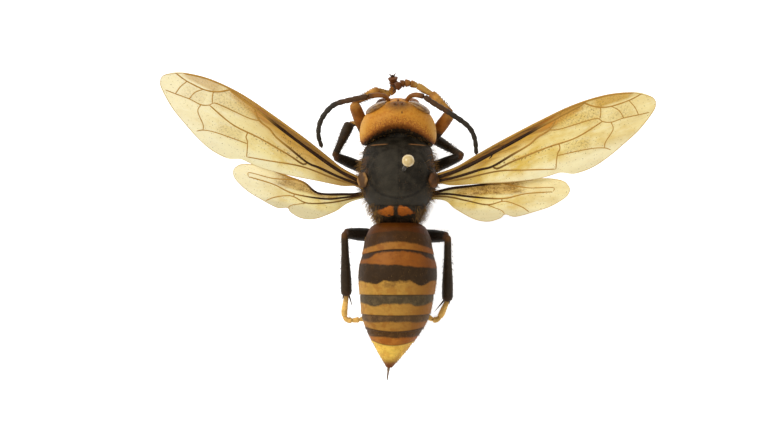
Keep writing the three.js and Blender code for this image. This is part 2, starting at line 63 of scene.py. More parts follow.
shot = {
    "lens": 100.0,
    "sensor": 36.0,
    "height": 311.0,  # above the middle of the body
    "aim": (2.04, -0.88),  # the middle of the picture on the body's plane
}
cameraData = bpy.data.cameras.new("camera")
cameraData.lens = shot["lens"]
cameraData.sensor_width = shot["sensor"]
cameraData.clip_start = 0.01
camera = bpy.data.objects.new("camera", cameraData)
camera.location = (shot["aim"][0] * mm, shot["aim"][1] * mm, (shot["height"] + bodyZ) * mm)
camera.rotation_euler = (0.0, 0.0, math.pi)  # looks straight down, head up in the picture
bpy.context.scene.collection.objects.link(camera)
bpy.context.scene.camera = camera
print("camera set")


# A shader socket that takes part in expressions.
class Sock:

    def __init__(self, shader, socket):
        self.shader, self.socket = shader, socket

    def op(self, kind, *others):
        node = self.shader.tree.nodes.new("ShaderNodeMath")
        node.operation = kind
        for slot, value in zip(node.inputs, (self,) + others):
            self.shader.feed(slot, value)
        return Sock(self.shader, node.outputs[0])

    def lead(self, kind, number):  # number first, then the socket
        node = self.shader.tree.nodes.new("ShaderNodeMath")
        node.operation = kind
        node.inputs[0].default_value = number
        self.shader.feed(node.inputs[1], self)
        return Sock(self.shader, node.outputs[0])

    def __add__(self, other):
        return self.op("ADD", other)

    def __sub__(self, other):
        return self.op("SUBTRACT", other)

    def __mul__(self, other):
        return self.op("MULTIPLY", other)

    def __truediv__(self, other):
        return self.op("DIVIDE", other)

    def __pow__(self, other):
        return self.op("POWER", other)

    def __neg__(self):
        return self.op("MULTIPLY", -1.0)

    __radd__ = __add__
    __rmul__ = __mul__

    def __rsub__(self, other):
        return self.lead("SUBTRACT", other)

    def __rtruediv__(self, other):
        return self.lead("DIVIDE", other)

    def abs(self):
        return self.op("ABSOLUTE")

    def min(self, other):
        return self.op("MINIMUM", other)

    def max(self, other):
        return self.op("MAXIMUM", other)

    def sin(self):
        return self.op("SINE")

    def root(self):
        return self.max(0.0).op("SQRT")


# One material, made from expressions.
class Shader:

    def __init__(self, name):
        self.material = bpy.data.materials.new(name)
        self.material.use_nodes = True
        self.tree = self.material.node_tree
        self.tree.nodes.clear()
        self.out = self.tree.nodes.new("ShaderNodeOutputMaterial")
        self.coords = None

    def feed(self, slot, value):
        if isinstance(value, Sock):
            self.tree.links.new(value.socket, slot)
        elif isinstance(value, (tuple, list)) and slot.type == "RGBA" and len(value) == 3:
            slot.default_value = (*value, 1.0)
        else:
            slot.default_value = value

    def node(self, kind, settings=None, **values):
        made = self.tree.nodes.new(kind)
        for key, value in (settings or {}).items():
            setattr(made, key, value)
        for key, value in values.items():
            self.feed(made.inputs[key.replace("_", " ")], value)
        return made

    # Object coordinates as x, y, z in mm.
    def place(self, scale=1000.0):
        if self.coords is None:
            self.coords = self.node("ShaderNodeTexCoord").outputs["Object"]
            scaled = self.node("ShaderNodeVectorMath", {"operation": "SCALE"})
            self.tree.links.new(self.coords, scaled.inputs[0])
            scaled.inputs["Scale"].default_value = scale
            self.inMm = Sock(self, scaled.outputs[0])
            parts = self.node("ShaderNodeSeparateXYZ", Vector=self.inMm)
            self.xyz = [Sock(self, out) for out in parts.outputs]
        return self.xyz

    # A metric UV map as two lengths in mm.
    def uv(self, name, size):
        made = self.node("ShaderNodeUVMap", {"uv_map": name})
        parts = self.node("ShaderNodeSeparateXYZ", Vector=Sock(self, made.outputs[0]))
        return [Sock(self, parts.outputs[i]) * size for i in (0, 1)]

    def vector(self, x, y, z):
        return Sock(self, self.node("ShaderNodeCombineXYZ", X=x, Y=y, Z=z).outputs[0])

    def noise(self, where, scale, detail=3.0, rough=0.55, stretch=None):
        if stretch:
            made = self.node("ShaderNodeVectorMath", {"operation": "MULTIPLY"})
            self.feed(made.inputs[0], where)
            made.inputs[1].default_value = stretch
            where = Sock(self, made.outputs[0])
        made = self.node("ShaderNodeTexNoise", Vector=where, Scale=scale, Detail=detail, Roughness=rough)
        return Sock(self, made.outputs["Fac"])

    def cells(self, where, scale, feature="F1"):
        made = self.node("ShaderNodeTexVoronoi", {"feature": feature}, Vector=where, Scale=scale)
        return Sock(self, made.outputs["Distance"])

    # Smooth rise from 0 at low to 1 at high.
    def step(self, value, low, high):
        made = self.node("ShaderNodeMapRange", {"interpolation_type": "SMOOTHSTEP"})
        self.feed(made.inputs["Value"], value)
        made.inputs["From Min"].default_value = low
        made.inputs["From Max"].default_value = high
        return Sock(self, made.outputs[0])

    def mix(self, factor, first, second):
        made = self.node("ShaderNodeMix", {"data_type": "RGBA"})
        self.feed(made.inputs[0], factor)
        self.feed(made.inputs[6], first)
        self.feed(made.inputs[7], second)
        return Sock(self, made.outputs[2])

    def bump(self, height, strength=0.4, distance=0.05):
        made = self.node("ShaderNodeBump", Height=height)
        made.inputs["Strength"].default_value = strength
        made.inputs["Distance"].default_value = distance * mm
        return Sock(self, made.outputs[0])

    def surface(self, color, roughness=0.45, normal=None, alpha=None, gloss=0.22, **fixed):
        made = self.node("ShaderNodeBsdfPrincipled")
        self.feed(made.inputs["Base Color"], color)
        self.feed(made.inputs["Roughness"], roughness)
        if normal is not None:
            self.feed(made.inputs["Normal"], normal)
        if alpha is not None:
            self.feed(made.inputs["Alpha"], alpha)
        made.inputs["Specular IOR Level"].default_value = gloss
        for key, number in fixed.items():
            self.feed(made.inputs[key.replace("_", " ")], number)
        self.tree.links.new(made.outputs[0], self.out.inputs[0])
        return self.material


tone = {
    "amber": (0.49, 0.172, 0.016),
    "honey": (0.58, 0.245, 0.027),
    "straw": (0.60, 0.31, 0.050),
    "rust": (0.25, 0.070, 0.010),
    "umber": (0.075, 0.028, 0.008),
    "soot": (0.018, 0.011, 0.006),
    "black": (0.009, 0.0065, 0.004),
}


def headCuticle():
    s = Shader("headCuticle")
    x, y, z = s.place()
    speck = s.noise(s.inMm, 2.6, 4.0, 0.62)
    fine = s.noise(s.inMm, 9.0, 3.0)
    color = s.mix(s.step(speck, 0.40, 0.70), tone["honey"], tone["amber"])
    color = s.mix(s.step(x.abs(), 3.9, 5.3) * s.step(y, -16.8, -15.0) * 0.75, color, tone["straw"])
    # the rear rim of the vertex is mottled brown, then the hollow occiput is black
    behind = y + 13.95 - x * x * 0.088
    freckle = s.noise(s.inMm, 4.5, 5.0, 0.75)
    mottle = s.step(freckle, 0.45, 0.57) * s.step(behind, -2.5, -0.7) * (1.0 - s.step(x.abs(), 3.8, 5.4))
    color = s.mix(mottle * 0.92, color, (0.24, 0.065, 0.008))
    color = s.mix(s.step(freckle, 0.62, 0.70) * 0.5, color, (0.24, 0.07, 0.01))
    color = s.mix(s.step(fine, 0.60, 0.78) * 0.3, color, tone["rust"])
    edge = behind + (speck - 0.5) * 0.9 + (freckle - 0.5) * 1.2
    color = s.mix(s.step(edge, -1.7, -0.45) * 0.7, color, (0.27, 0.075, 0.009))
    color = s.mix(s.step(edge, -0.95, -0.1), color, (0.13, 0.036, 0.006))
    color = s.mix(s.step(edge, -0.22, 0.12), color, tone["soot"])
    # dark sockets of the feelers, and a brown line down the face
    socket = ((x.abs() - 1.05) * (x.abs() - 1.05) + (z - 25.4) * (z - 25.4)).root()
    face = s.step(-y, 16.9, 17.3)
    color = s.mix((1.0 - s.step(socket, 0.35, 0.75)) * face, color, tone["umber"])
    ocelliSpot = ((x + 0.05) * (x + 0.05) * 0.38 + (y + 17.75) * (y + 17.75)).root()
    ocelliSpot = ocelliSpot + (freckle - 0.5) * 1.0
    color = s.mix((1.0 - s.step(ocelliSpot, 0.3, 1.9)) * s.step(z, 26.6, 27.2) * 0.92, color, (0.16, 0.070, 0.020))
    nick = ((x + 0.55) * (x + 0.55) * 2.0 + (y + 16.25) * (y + 16.25)).root()
    color = s.mix((1.0 - s.step(nick, 0.06, 0.3)) * s.step(z, 27.0, 27.6) * 0.8, color, tone["umber"])
    line = (1.0 - s.step(x.abs(), 0.03, 0.16)) * face * s.step(z, 23.8, 24.4) * 0.5
    color = s.mix(line, color, tone["rust"])
    pits = s.cells(s.inMm, 5.5)
    normal = s.bump(s.step(pits, 0.0, 0.32) * 0.6 + fine * 0.5, 0.45, 0.05)
    return s.surface(color, 0.42 + speck * 0.2, normal, gloss=0.14)


def eyeGlaze():
    s = Shader("eyeGlaze")
    s.place()
    facets = s.cells(s.inMm, 16.0)
    cloud = s.noise(s.inMm, 1.4, 2.0)
    color = s.mix(s.step(cloud, 0.35, 0.65), (0.15, 0.065, 0.014), (0.31, 0.165, 0.045))
    normal = s.bump(1.0 - facets, 0.3, 0.02)
    return s.surface(color, 0.3, normal, gloss=0.35, Coat_Weight=0.25, Coat_Roughness=0.18)


def thoraxCuticle():
    s = Shader("thoraxCuticle")
    x, y, z = s.place()
    cloud = s.noise(s.inMm, 0.9, 4.0, 0.6)
    grain = s.noise(s.inMm, 7.0, 4.0, 0.6)
    top = s.step(z, 26.2, 27.2)
    color = s.mix(s.step(cloud, 0.35, 0.68), (0.012, 0.009, 0.005), (0.034, 0.027, 0.017))
    color = s.mix(s.step(grain, 0.56, 0.78) * 0.4, color, (0.060, 0.050, 0.033))
    color = s.mix(s.step(y, -5.2, -4.4) * (1.0 - s.step(y, -3.1, -2.8)) * top * 0.5, color, (0.048, 0.040, 0.028))
    dust = s.step(s.noise(s.inMm, 11.0, 4.0, 0.8), 0.66, 0.72)
    color = s.mix(dust * 0.55, color, (0.22, 0.19, 0.14))
    # painted light and shade: the left half of the scutum, on the lamp's side, is painted paler, and painted dark lines
    # shade the grooves along its middle and its rim
    disc = ((x * x) / 19.4 + (y + 7.5) * (y + 7.5) / 13.0).root() + (cloud - 0.5) * 0.08
    inside = 1.0 - s.step(disc, 0.93, 1.0)
    # painted light on the left half of the scutum
    litHalf = inside * s.step(x + (grain - 0.5) * 0.5, -0.15, 0.2) * (1.0 - s.step(x, 2.0, 3.7))
    color = s.mix(litHalf * top * 0.35, color, (0.052, 0.043, 0.028))
    # painted shade in the grooves round the rim of the scutum and down its middle
    grooveShade = (1.0 - s.step((disc - 1.0).abs(), 0.01, 0.09)) * s.step(y, -8.0, -6.0) * s.step(grain, 0.25, 0.6)
    middleGrooveShade = (1.0 - s.step(x.abs(), 0.03, 0.14)) * inside * 0.35
    color = s.mix(grooveShade.max(middleGrooveShade) * top * 0.6, color, (0.005, 0.004, 0.003))
    # two ragged rust marks behind the scutellum, blunt at the middle and narrow at their outer ends
    ragged = s.noise(s.inMm, 1.2, 5.0, 0.7)
    for side, inner, reach, shade in ((1, 0.5, 2.7, (0.53, 0.145, 0.016)), (-1, -0.15, 2.6, (0.47, 0.122, 0.013))):
        out = (x * side - inner) / reach
        fromMiddle, height = (out - 0.40) / 0.60, (y + 2.1 - out * 0.22) / (1.0 - out * 0.55)
        spot = fromMiddle * fromMiddle + height.abs() ** 1.5 + (ragged - 0.5) * 2.6
        leaf = (1.0 - s.step(spot, 0.62, 0.90)) * s.step(out + (ragged - 0.5) * 0.25, 0.0, 0.12) * s.step(z, 25.2, 26.0)
        color = s.mix(leaf, color, shade)
        color = s.mix(leaf * s.step(grain, 0.44, 0.62) * 0.55, color, tuple(v * 0.4 for v in shade))
    # brown flush on the shoulders, the flanks and the rear slope, and a line on the collar
    flank = s.step(x.abs(), 3.9, 5.1) * s.step(z, 23.5, 27.0)
    color = s.mix(flank * s.step(cloud, 0.42, 0.64) * 0.75, color, (0.10, 0.038, 0.011))
    rear = s.step(y, -3.6, -1.6) * (1.0 - s.step(z, 25.5, 26.6) * 0.75)
    color = s.mix(rear * s.step(cloud, 0.35, 0.7) * 0.5, color, tone["umber"])
    rim = (1.0 - s.step((y + 11.72 - x * x * 0.012).abs(), 0.03, 0.12)) * top
    rim = rim * s.step(x.abs(), 1.3, 2.0) * (1.0 - s.step(x.abs(), 3.6, 4.3))
    color = s.mix(rim * 0.9, color, (0.25, 0.115, 0.04))
    pits = s.cells(s.inMm, 3.4)
    relief = s.step(pits, 0.0, 0.4) * 0.8 + grain * 0.9
    normal = s.bump(relief, 0.55, 0.09)
    return s.surface(color, 0.46 + cloud * 0.24, normal, gloss=0.12)


# Gaster bands: for each segment where it starts, how far its rust and its dark colour reach at the
# middle of the back, and its yellow, dark and rust tones
bands = [
    (-0.35, 0.80, 2.30, (0.36, 0.142, 0.020), (0.047, 0.018, 0.003), (0.076, 0.019, 0.001)),
    (3.47, 5.75, 8.0, (0.49, 0.252, 0.042), (0.035, 0.017, 0.005), (0.25, 0.072, 0.008)),
    (10.08, 10.08, 11.3, (0.47, 0.235, 0.040), (0.069, 0.046, 0.020), None),
    (13.08, 13.08, 13.95, (0.42, 0.195, 0.031), (0.087, 0.045, 0.016), None),
    (15.42, 15.42, 16.35, (0.46, 0.158, 0.018), (0.070, 0.030, 0.007), None),
    (17.5, 17.5, 17.5, (0.95, 0.590, 0.090), (0.05, 0.03, 0.01), None),
]


# Bands across the back by the place along the body. They bow with the rings, and their edges
# wander with noise and hang down in a lobe on each flank.
def gasterCuticle():
    s = Shader("gasterCuticle")
    x, y, z = s.place()
    wobble = s.noise(s.inMm, 0.55, 3.0, 0.55)
    fine = s.noise(s.inMm, 5.5, 4.0, 0.7)
    patch = s.noise(s.inMm, 0.8, 3.0, 0.6)
    streak = s.noise(s.inMm, 1.4, 4.0, 0.65, (0.6, 1.3, 1.0))
    dust = s.noise(s.inMm, 1.3, 5.0, 0.75)
    across = x - y * y * y * 0.000137
    side = across.abs()
    lobes = ((side * 1.5 - 3.4).sin() + 0.4) * s.step(side, 1.2, 2.6)
    color = None
    for i, (start, rustTo, darkTo, yellow, dark, rust) in enumerate(bands):
        bow = (0.034, 0.032, 0.002, -0.004, -0.03, -0.07)[i]
        along = y - side * side * bow
        arch = lobes * (0.0, 0.40, 0.26, 0.14, 0.10, 0.0)[i] + (wobble - 0.5) * (0.5, 0.7, 0.5, 0.4, 0.4, 0.3)[i]
        arch = arch + (fine - 0.5) * (0.46 if i < 5 else 0.1)
        if i == 0:
            arch = arch + side * side * 0.014
        if i == 1:  # its front edge bows more than its rear edge, and the right lobe hangs lower
            arch = arch - side * side * 0.022 - lobes * x * 0.03
        shade = s.mix(s.step(streak, 0.32, 0.68), yellow, tuple(v * 0.82 for v in yellow))
        # painted shade: each band darkens towards the right side, away from the lamp
        shadedYellow = tuple(v * f for v, f in zip(yellow, (0.50, 0.32, 0.22)))
        shade = s.mix(s.step(across * -1.0, -0.5, 5.0) * 0.8, shade, shadedYellow)
        shade = s.mix(s.step(patch, 0.50, 0.60) * 0.55, shade, tuple(v * f for v, f in zip(yellow, (0.66, 0.5, 0.4))))
        if i < 5:
            dusty = tuple(v * (1.4 if i < 2 else 1.7) for v in dark)
            shadow = s.mix(s.step(dust, 0.44, 0.66), dark, dusty)
            stain = (1.0 - s.step(side, 1.6, 3.0)) * (1.0 - s.step(along, darkTo + 0.5, darkTo + 1.3))
            if i == 1:
                smudge = s.step(s.noise(s.inMm, 1.2, 4.0, 0.7), 0.38, 0.6)
                shade = s.mix(stain * smudge * 0.7, shade, (0.19, 0.088, 0.018))
            shade = s.mix(s.step(along - darkTo - arch, -0.12, 0.22), shadow, shade)
        if rust:
            # lighter ochre in random patches and, as painted light, towards the left side, on the lamp's side
            ochreAndLitSide = tuple(v * f for v, f in zip(rust, (1.3, 1.5, 1.7)))
            warm = s.mix(s.step(patch * 2.0 - across * 0.14, 0.5, 1.4), ochreAndLitSide, rust)
            warm = s.mix(s.step(streak, 0.48, 0.7) * 0.5, warm, tuple(v * 0.66 for v in rust))
            warm = s.mix(s.step(side, 2.6, 4.8) * 0.5, warm, tuple(v * 0.5 for v in rust))
            reach = along - rustTo - (wobble - 0.5) * 0.6 + (side * side * 0.026 + x * 0.065) * (1.0 if i else 0.0)
            shade = s.mix(s.step(reach + (fine - 0.5) * 0.3, -0.14, 0.18), warm, shade)
        if i == 1:  # painted shade under the rear rim of the first segment: the second's front margin is dark, and the dark runs out on the flanks
            edge = along - start - 0.2 - s.step(side, 2.9, 4.4) * 0.42 + (wobble - 0.5) * 0.6 + (fine - 0.5) * 0.5
            shade = s.mix(s.step(edge, -0.05, 0.3), (0.040, 0.018, 0.007), shade)
        if i == 5:
            shade = s.mix(s.step(y, 19.0, 20.6), shade, (0.17, 0.045, 0.008))
        if color is None:
            color = shade
        else:
            color = s.mix(s.step(along - start, -0.03, 0.03), color, shade)
            # painted shade: a thin dark line where each segment starts, under the rim of the one before
            jointShade = 1.0 - s.step((along - start).abs(), 0.03, 0.14)
            color = s.mix(jointShade * 0.5, color, (0.045, 0.018, 0.006))
    # painted shade: the low part of the abdomen, underneath, is darkened
    low = 1.0 - s.step(z, 20.5, 23.0)
    color = s.mix(low * 0.3, color, (0.10, 0.045, 0.014))
    specks = s.step(fine, 0.62, 0.80) * (1.0 - s.step(y, 16.8, 17.6) * 0.85)
    color = s.mix(specks * 0.3, color, (0.13, 0.055, 0.012))
    dimples = s.cells(s.inMm, 4.6)
    dents = s.noise(s.inMm, 1.3, 2.0)
    relief = s.step(dimples, 0.0, 0.35) * 0.4 + streak * 0.7 + fine * 0.4 + dents * 1.6
    relief = relief * (1.0 - s.step(y, 16.8, 17.8) * 0.55)
    return s.surface(color, 0.42 + fine * 0.22, s.bump(relief, 0.45, 0.09), gloss=0.12)


# Horn-brown limb: light and dark patches along it, with fine pits.
def limbCuticle(name, light, dark, amount, seed, rough=0.4):
    s = Shader(name)
    s.place()
    patch = s.noise(s.inMm, 0.55, 2.0, 0.5, (1.0 + seed * 0.1, 1.0, 1.3))
    fine = s.noise(s.inMm, 6.5, 3.0)
    color = s.mix(s.step(patch, amount - 0.14, amount + 0.14), light, dark)
    color = s.mix(s.step(fine, 0.52, 0.8) * 0.5, color, tuple(v * 0.4 for v in dark))
    normal = s.bump(s.cells(s.inMm, 9.0) * 0.7 + fine * 0.6, 0.5, 0.035)
    return s.surface(color, rough + patch * 0.16, normal, gloss=0.2)


# Leg colour from its own UV map, whose u is the share along the piece: root tone up to a share,
# then the bare tone, then the end tone
def legCuticle(name, root, rootShare, bare, endShare, end):
    s = Shader(name)
    s.place()
    along, around = s.uv("along", 1.0)
    patch = s.noise(s.inMm, 1.1, 3.0, 0.6)
    fine = s.noise(s.inMm, 7.0, 3.0)
    run = along + (patch - 0.5) * 0.22
    color = s.mix(s.step(patch, 0.4, 0.66), bare, tuple(v * 1.35 for v in bare))
    color = s.mix(s.step(run, rootShare - 0.07, rootShare + 0.07), root, color)
    color = s.mix(s.step(run, endShare - 0.07, endShare + 0.07), color, end)
    color = s.mix(s.step(fine, 0.52, 0.8) * 0.35, color, tuple(v * 0.45 for v in bare))
    normal = s.bump(s.cells(s.inMm, 8.0) * 0.7 + fine * 0.6, 0.5, 0.035)
    return s.surface(color, 0.40 + patch * 0.2, normal, gloss=0.16)


# Wing tints, in linear colour
tint = {
    "pale": (0.96, 0.81, 0.36),
    "cream": (0.96, 0.88, 0.58),
    "amber": (0.74, 0.49, 0.085),
    "gold": (0.60, 0.31, 0.030),
    "costal": (0.24, 0.098, 0.008),
    "stigma": (0.42, 0.155, 0.012),
    "fleck": (0.17, 0.070, 0.009),
    "vein": (0.48, 0.25, 0.045),
    "veinDark": (0.026, 0.010, 0.003),
}


# Membrane colour by wing coordinates: span from the root and place along the chord, both in mm.
# Paleness is the share of the pale tint.
def wingMembrane(name, fore, paleness):
    s = Shader(name)
    span, chord = s.uv("wing", 40.0)
    chord = chord - 20.0
    where = s.vector(span, chord, 0.0)
    cloud = s.noise(where, 0.24, 3.0, 0.6)
    crease = s.noise(where, 0.9, 4.0, 0.6, (0.5, 1.9, 1.0))
    fine = s.noise(where, 5.0, 3.0, 0.6)
    sand = s.noise(where, 3.4, 5.0, 0.85)
    color = s.mix(s.step(cloud + crease * 0.6 - 0.3 - paleness * 0.32, 0.22, 0.78), tint["pale"], tint["amber"])
    shine = s.step(s.noise(where, 0.55, 3.0, 0.6, (0.45, 1.6, 1.0)), 0.54, 0.66)
    color = s.mix(shine * (0.28 + paleness * 0.3), color, tint["cream"])
    rim = s.step(span, 14.0, 31.0) if fore else s.step(span, 9.0, 18.0)
    behind = 1.0 - s.step(chord + (cloud - 0.5) * 1.4, -4.2, -2.2 if fore else -1.2)
    color = s.mix(rim * (0.25 + paleness * 0.6), color, tint["cream"])
    color = s.mix(behind * 0.6, color, tint["cream"])
    if fore:
        # deep brown between the leading edge and the radius, orange at the stigma where they meet
        lead = chord - span * 0.172 + 0.5
        strip = s.step(lead, -0.3, -0.1) * (1.0 - s.step(span, 23.6, 25.0))
        behindRadius = s.step(lead, -1.9, -0.5) * s.step(span, 3.0, 8.0) * (1.0 - s.step(span, 18.0, 22.5))
        marginal = s.step(chord - 2.0, 0.0, 0.4) * s.step(span, 24.4, 26.0) * (1.0 - s.step(span, 29.5, 32.0))
        glow = s.step(lead, -5.0, -0.5) * (1.0 - s.step(span, 10.0, 25.0))
        color = s.mix(glow * (0.2 + paleness * 0.8), color, tint["gold"])
        color = s.mix(behindRadius * 0.85, color, tint["gold"])
        streaks = s.step(s.noise(where, 1.6, 3.0, 0.6, (0.12, 1.6, 1.0)), 0.46, 0.60)
        color = s.mix(behindRadius * streaks * (0.6 - paleness * 0.4), color, (0.27, 0.120, 0.013))
        ember = (1.0 - s.step((lead + 0.35).abs(), 0.2, 0.7)) * s.step(span, 15.5, 17.5)
        color = s.mix(ember * (1.0 - s.step(span, 22.5, 24.5)) * (0.85 - paleness * 0.4), color, (0.55, 0.22, 0.02))
        lines = s.step(s.noise(where, 2.4, 2.0, 0.5, (0.05, 1.5, 1.0)), 0.44, 0.56)
        stripTone = s.mix(lines * 0.8, tint["costal"], (0.11, 0.038, 0.004))
        stripTone = s.mix(s.step(span, 15.5, 18.5), stripTone, tint["stigma"])
        color = s.mix(strip * (0.95 - paleness * 0.25), color, stripTone)
        color = s.mix(marginal * (0.8 - paleness * 0.4), color, tint["gold"])
        behindStigma = s.step(chord + span * 0.1 - 2.3, 0.0, 1.4) * s.step(span, 18.5, 20.0) * (1.0 - s.step(span, 24.5, 27.0))
        lower = (1.0 - s.step((chord + 2.0).abs(), 0.5, 1.2)) * s.step(span, 18.6, 19.4) * (1.0 - s.step(span, 22.0, 24.0))
        outer = (1.0 - s.step((chord - 0.6).abs(), 0.6, 1.4)) * s.step(span, 26.0, 27.0) * (1.0 - s.step(span, 29.0, 31.0))
        zone = behindStigma.max(lower * 0.9).max(outer * 0.7).max(marginal * 0.8)
        color = s.mix(zone * 0.35, color, tint["amber"])
        color = s.mix(zone * s.step(sand, 0.50, 0.62) * (0.75 - paleness * 0.35), color, (0.20, 0.09, 0.014))
        spots = s.step(s.noise(where, 3.6, 2.0, 0.5), 0.57, 0.63)
        row = 1.0 - s.step((chord + 1.5 - span * 0.03).abs(), 0.2, 0.5)
        row = row * s.step(span, 8.8, 9.6) * (1.0 - s.step(span, 17.0, 18.4))
        color = s.mix(spots * row * 0.8, color, tint["fleck"])
        if paleness > 0.4:  # a rash of dark spots before the media
            rash = 1.0 - s.step((chord + 3.7 - span * 0.34).abs(), 0.22, 0.5)
            rash = rash * s.step(span, 8.0, 8.6) * (1.0 - s.step(span, 13.0, 14.6))
            color = s.mix(rash * 0.4, color, tint["gold"])
            grains = (1.0 - s.step(s.cells(where, 3.8), 0.20, 0.34)) * s.step(sand, 0.36, 0.46)
            color = s.mix(rash * grains * 0.95, color, (0.07, 0.028, 0.006))
        rootShare = 6.0
    else:
        haze = s.step(chord + 0.7, 0.0, 0.5) * s.step(span, 2.5, 4.5) * (1.0 - s.step(span, 11.5, 14.5))
        color = s.mix(haze * 0.65, color, tint["gold"])
        color = s.mix(haze * s.step(sand, 0.42, 0.54) * s.step(crease, 0.36, 0.56) * (0.85 - paleness * 0.35), color, tint["fleck"])
        anal = 1.0 - s.step(chord + 1.9 + span * 0.06, -0.6, 0.2)
        color = s.mix(anal * 0.6, color, (0.72, 0.60, 0.33))
        rootShare = 4.0
    rootward = 1.0 - s.step(span, rootShare * 0.1, rootShare * 1.4)
    color = s.mix(rootward * (0.62 if fore else 0.42), color, (0.21, 0.09, 0.011))
    color = s.mix(s.step(sand, 0.64, 0.72) * 0.35, color, (0.34, 0.18, 0.03))
    dots = s.step(s.noise(where, 4.2, 2.0, 0.5), 0.655, 0.70)
    color = s.mix(dots * 0.7, color, tint["fleck"])
    alpha = 0.94 - paleness * 0.06 + rootward * 0.03 - rim * (0.05 + paleness * 0.25) + (crease - 0.5) * 0.1
    normal = s.bump(crease * 1.2 + fine * 0.2, 0.6, 0.18)
    return s.surface(color, 0.36 + fine * 0.16, normal, alpha.max(0.2).min(0.98), gloss=0.15)


def veinHorn():
    s = Shader("veinHorn")
    span, dark = s.uv("wing", 1.0)
    s.place()
    fine = s.noise(s.inMm, 3.5, 3.0)
    color = s.mix(s.step(dark, 0.2, 0.85), tint["vein"], tint["veinDark"])
    color = s.mix(s.step(fine, 0.5, 0.75) * 0.4, color, (0.13, 0.05, 0.01))
    return s.surface(color, 0.5, s.bump(fine, 0.3, 0.04), gloss=0.12)


def hairMaterial(name, root, tip):
    s = Shader(name)
    s.place()
    patch = s.noise(s.inMm, 1.6, 2.0)
    color = s.mix(s.step(patch, 0.35, 0.68), root, tip)
    return s.surface(color, 0.55, gloss=0.15)


def pearlHead():
    s = Shader("pearlHead")
    s.place()
    cloud = s.noise(s.inMm, 1.1, 2.0)
    color = s.mix(s.step(cloud, 0.3, 0.7), (0.64, 0.47, 0.20), (0.50, 0.34, 0.12))
    return s.surface(color, 0.22, s.bump(cloud, 0.1, 0.02), gloss=0.5, Coat_Weight=0.6, Coat_Roughness=0.08)


def pinSteel():
    s = Shader("pinSteel")
    s.place()
    drawn = s.noise(s.inMm, 2.0, 3.0, 0.6, (8.0, 8.0, 0.4))
    color = s.mix(s.step(drawn, 0.35, 0.7), (0.56, 0.54, 0.50), (0.36, 0.34, 0.31))
    return s.surface(color, 0.26 + drawn * 0.14, s.bump(drawn, 0.15, 0.01), Metallic=1.0)


def baseFoam():
    s = Shader("baseFoam")
    s.place()
    cells = s.cells(s.inMm, 2.2)
    fine = s.noise(s.inMm, 3.0, 4.0)
    color = s.mix(s.step(fine, 0.35, 0.7), (0.86, 0.855, 0.84), (0.80, 0.795, 0.78))
    return s.surface(color, 0.7, s.bump(s.step(cells, 0.0, 0.5) + fine * 0.4, 0.25, 0.06))


look = {
    "head": headCuticle(),
    "eye": eyeGlaze(),
    "thorax": thoraxCuticle(),
    "gaster": gasterCuticle(),
    "membraneForeLeft": wingMembrane("membraneForeLeft", True, 0.6),
    "membraneHindLeft": wingMembrane("membraneHindLeft", False, 0.6),
    "membraneForeRight": wingMembrane("membraneForeRight", True, 0.0),
    "membraneHindRight": wingMembrane("membraneHindRight", False, 0.15),
    "vein": veinHorn(),
    "pearl": pearlHead(),
    "steel": pinSteel(),
    "foam": baseFoam(),
    "ocellus": limbCuticle("ocellusHorn", (0.24, 0.085, 0.016), (0.13, 0.045, 0.010), 0.5, 1, 0.25),
    "mandible": limbCuticle("mandibleHorn", (0.26, 0.09, 0.018), (0.045, 0.018, 0.006), 0.52, 2, 0.28),
    # painted light and shade: a paler and a darker copy of one tegula horn, for the lamp's side and the side away from
    # it
    "tegulaTan": limbCuticle("tegulaLitHorn", (0.46, 0.235, 0.075), (0.090, 0.042, 0.014), 0.5, 3, 0.45),
    "tegulaRust": limbCuticle("tegulaShadedHorn", (0.13, 0.048, 0.011), (0.030, 0.013, 0.004), 0.5, 3, 0.45),
    "sting": limbCuticle("stingHorn", (0.26, 0.17, 0.10), (0.12, 0.07, 0.035), 0.5, 4, 0.3),
    "claw": limbCuticle("clawHorn", (0.09, 0.038, 0.011), (0.03, 0.014, 0.006), 0.5, 5, 0.3),
    "scape": legCuticle("scapeHorn", (0.08, 0.026, 0.006), 0.2, (0.19, 0.068, 0.012), 0.85, (0.10, 0.04, 0.012)),
    "flagellum": legCuticle("flagellumHorn", (0.075, 0.034, 0.012), 0.34, (0.028, 0.021, 0.013), 0.97, (0.05, 0.03, 0.015)),
    "foreFemur": legCuticle("foreFemurHorn", (0.022, 0.011, 0.005), 0.56, (0.25, 0.085, 0.010), 0.9, (0.36, 0.15, 0.022)),
    "foreTibia": legCuticle("foreTibiaHorn", (0.24, 0.09, 0.013), 0.2, (0.43, 0.20, 0.034), 0.85, (0.34, 0.14, 0.022)),
    "foreTarsus": legCuticle("foreTarsusHorn", (0.46, 0.25, 0.055), 0.5, (0.24, 0.095, 0.016), 0.75, (0.13, 0.042, 0.009)),
    "femur": legCuticle("femurHorn", (0.020, 0.011, 0.006), 0.1, (0.017, 0.011, 0.006), 0.95, (0.08, 0.028, 0.007)),
    "tibia": legCuticle("tibiaHorn", (0.11, 0.045, 0.011), 0.07, (0.030, 0.018, 0.008), 0.93, (0.05, 0.024, 0.009)),
    "tarsus": legCuticle("tarsusHorn", (0.30, 0.16, 0.045), 0.08, (0.66, 0.39, 0.100), 0.92, (0.50, 0.28, 0.075)),
    "hairDark": hairMaterial("hairDark", (0.06, 0.03, 0.012), (0.20, 0.11, 0.045)),
    "hairGold": hairMaterial("hairGold", (0.11, 0.045, 0.010), (0.40, 0.22, 0.06)),
}
print("materials made:", len(look))


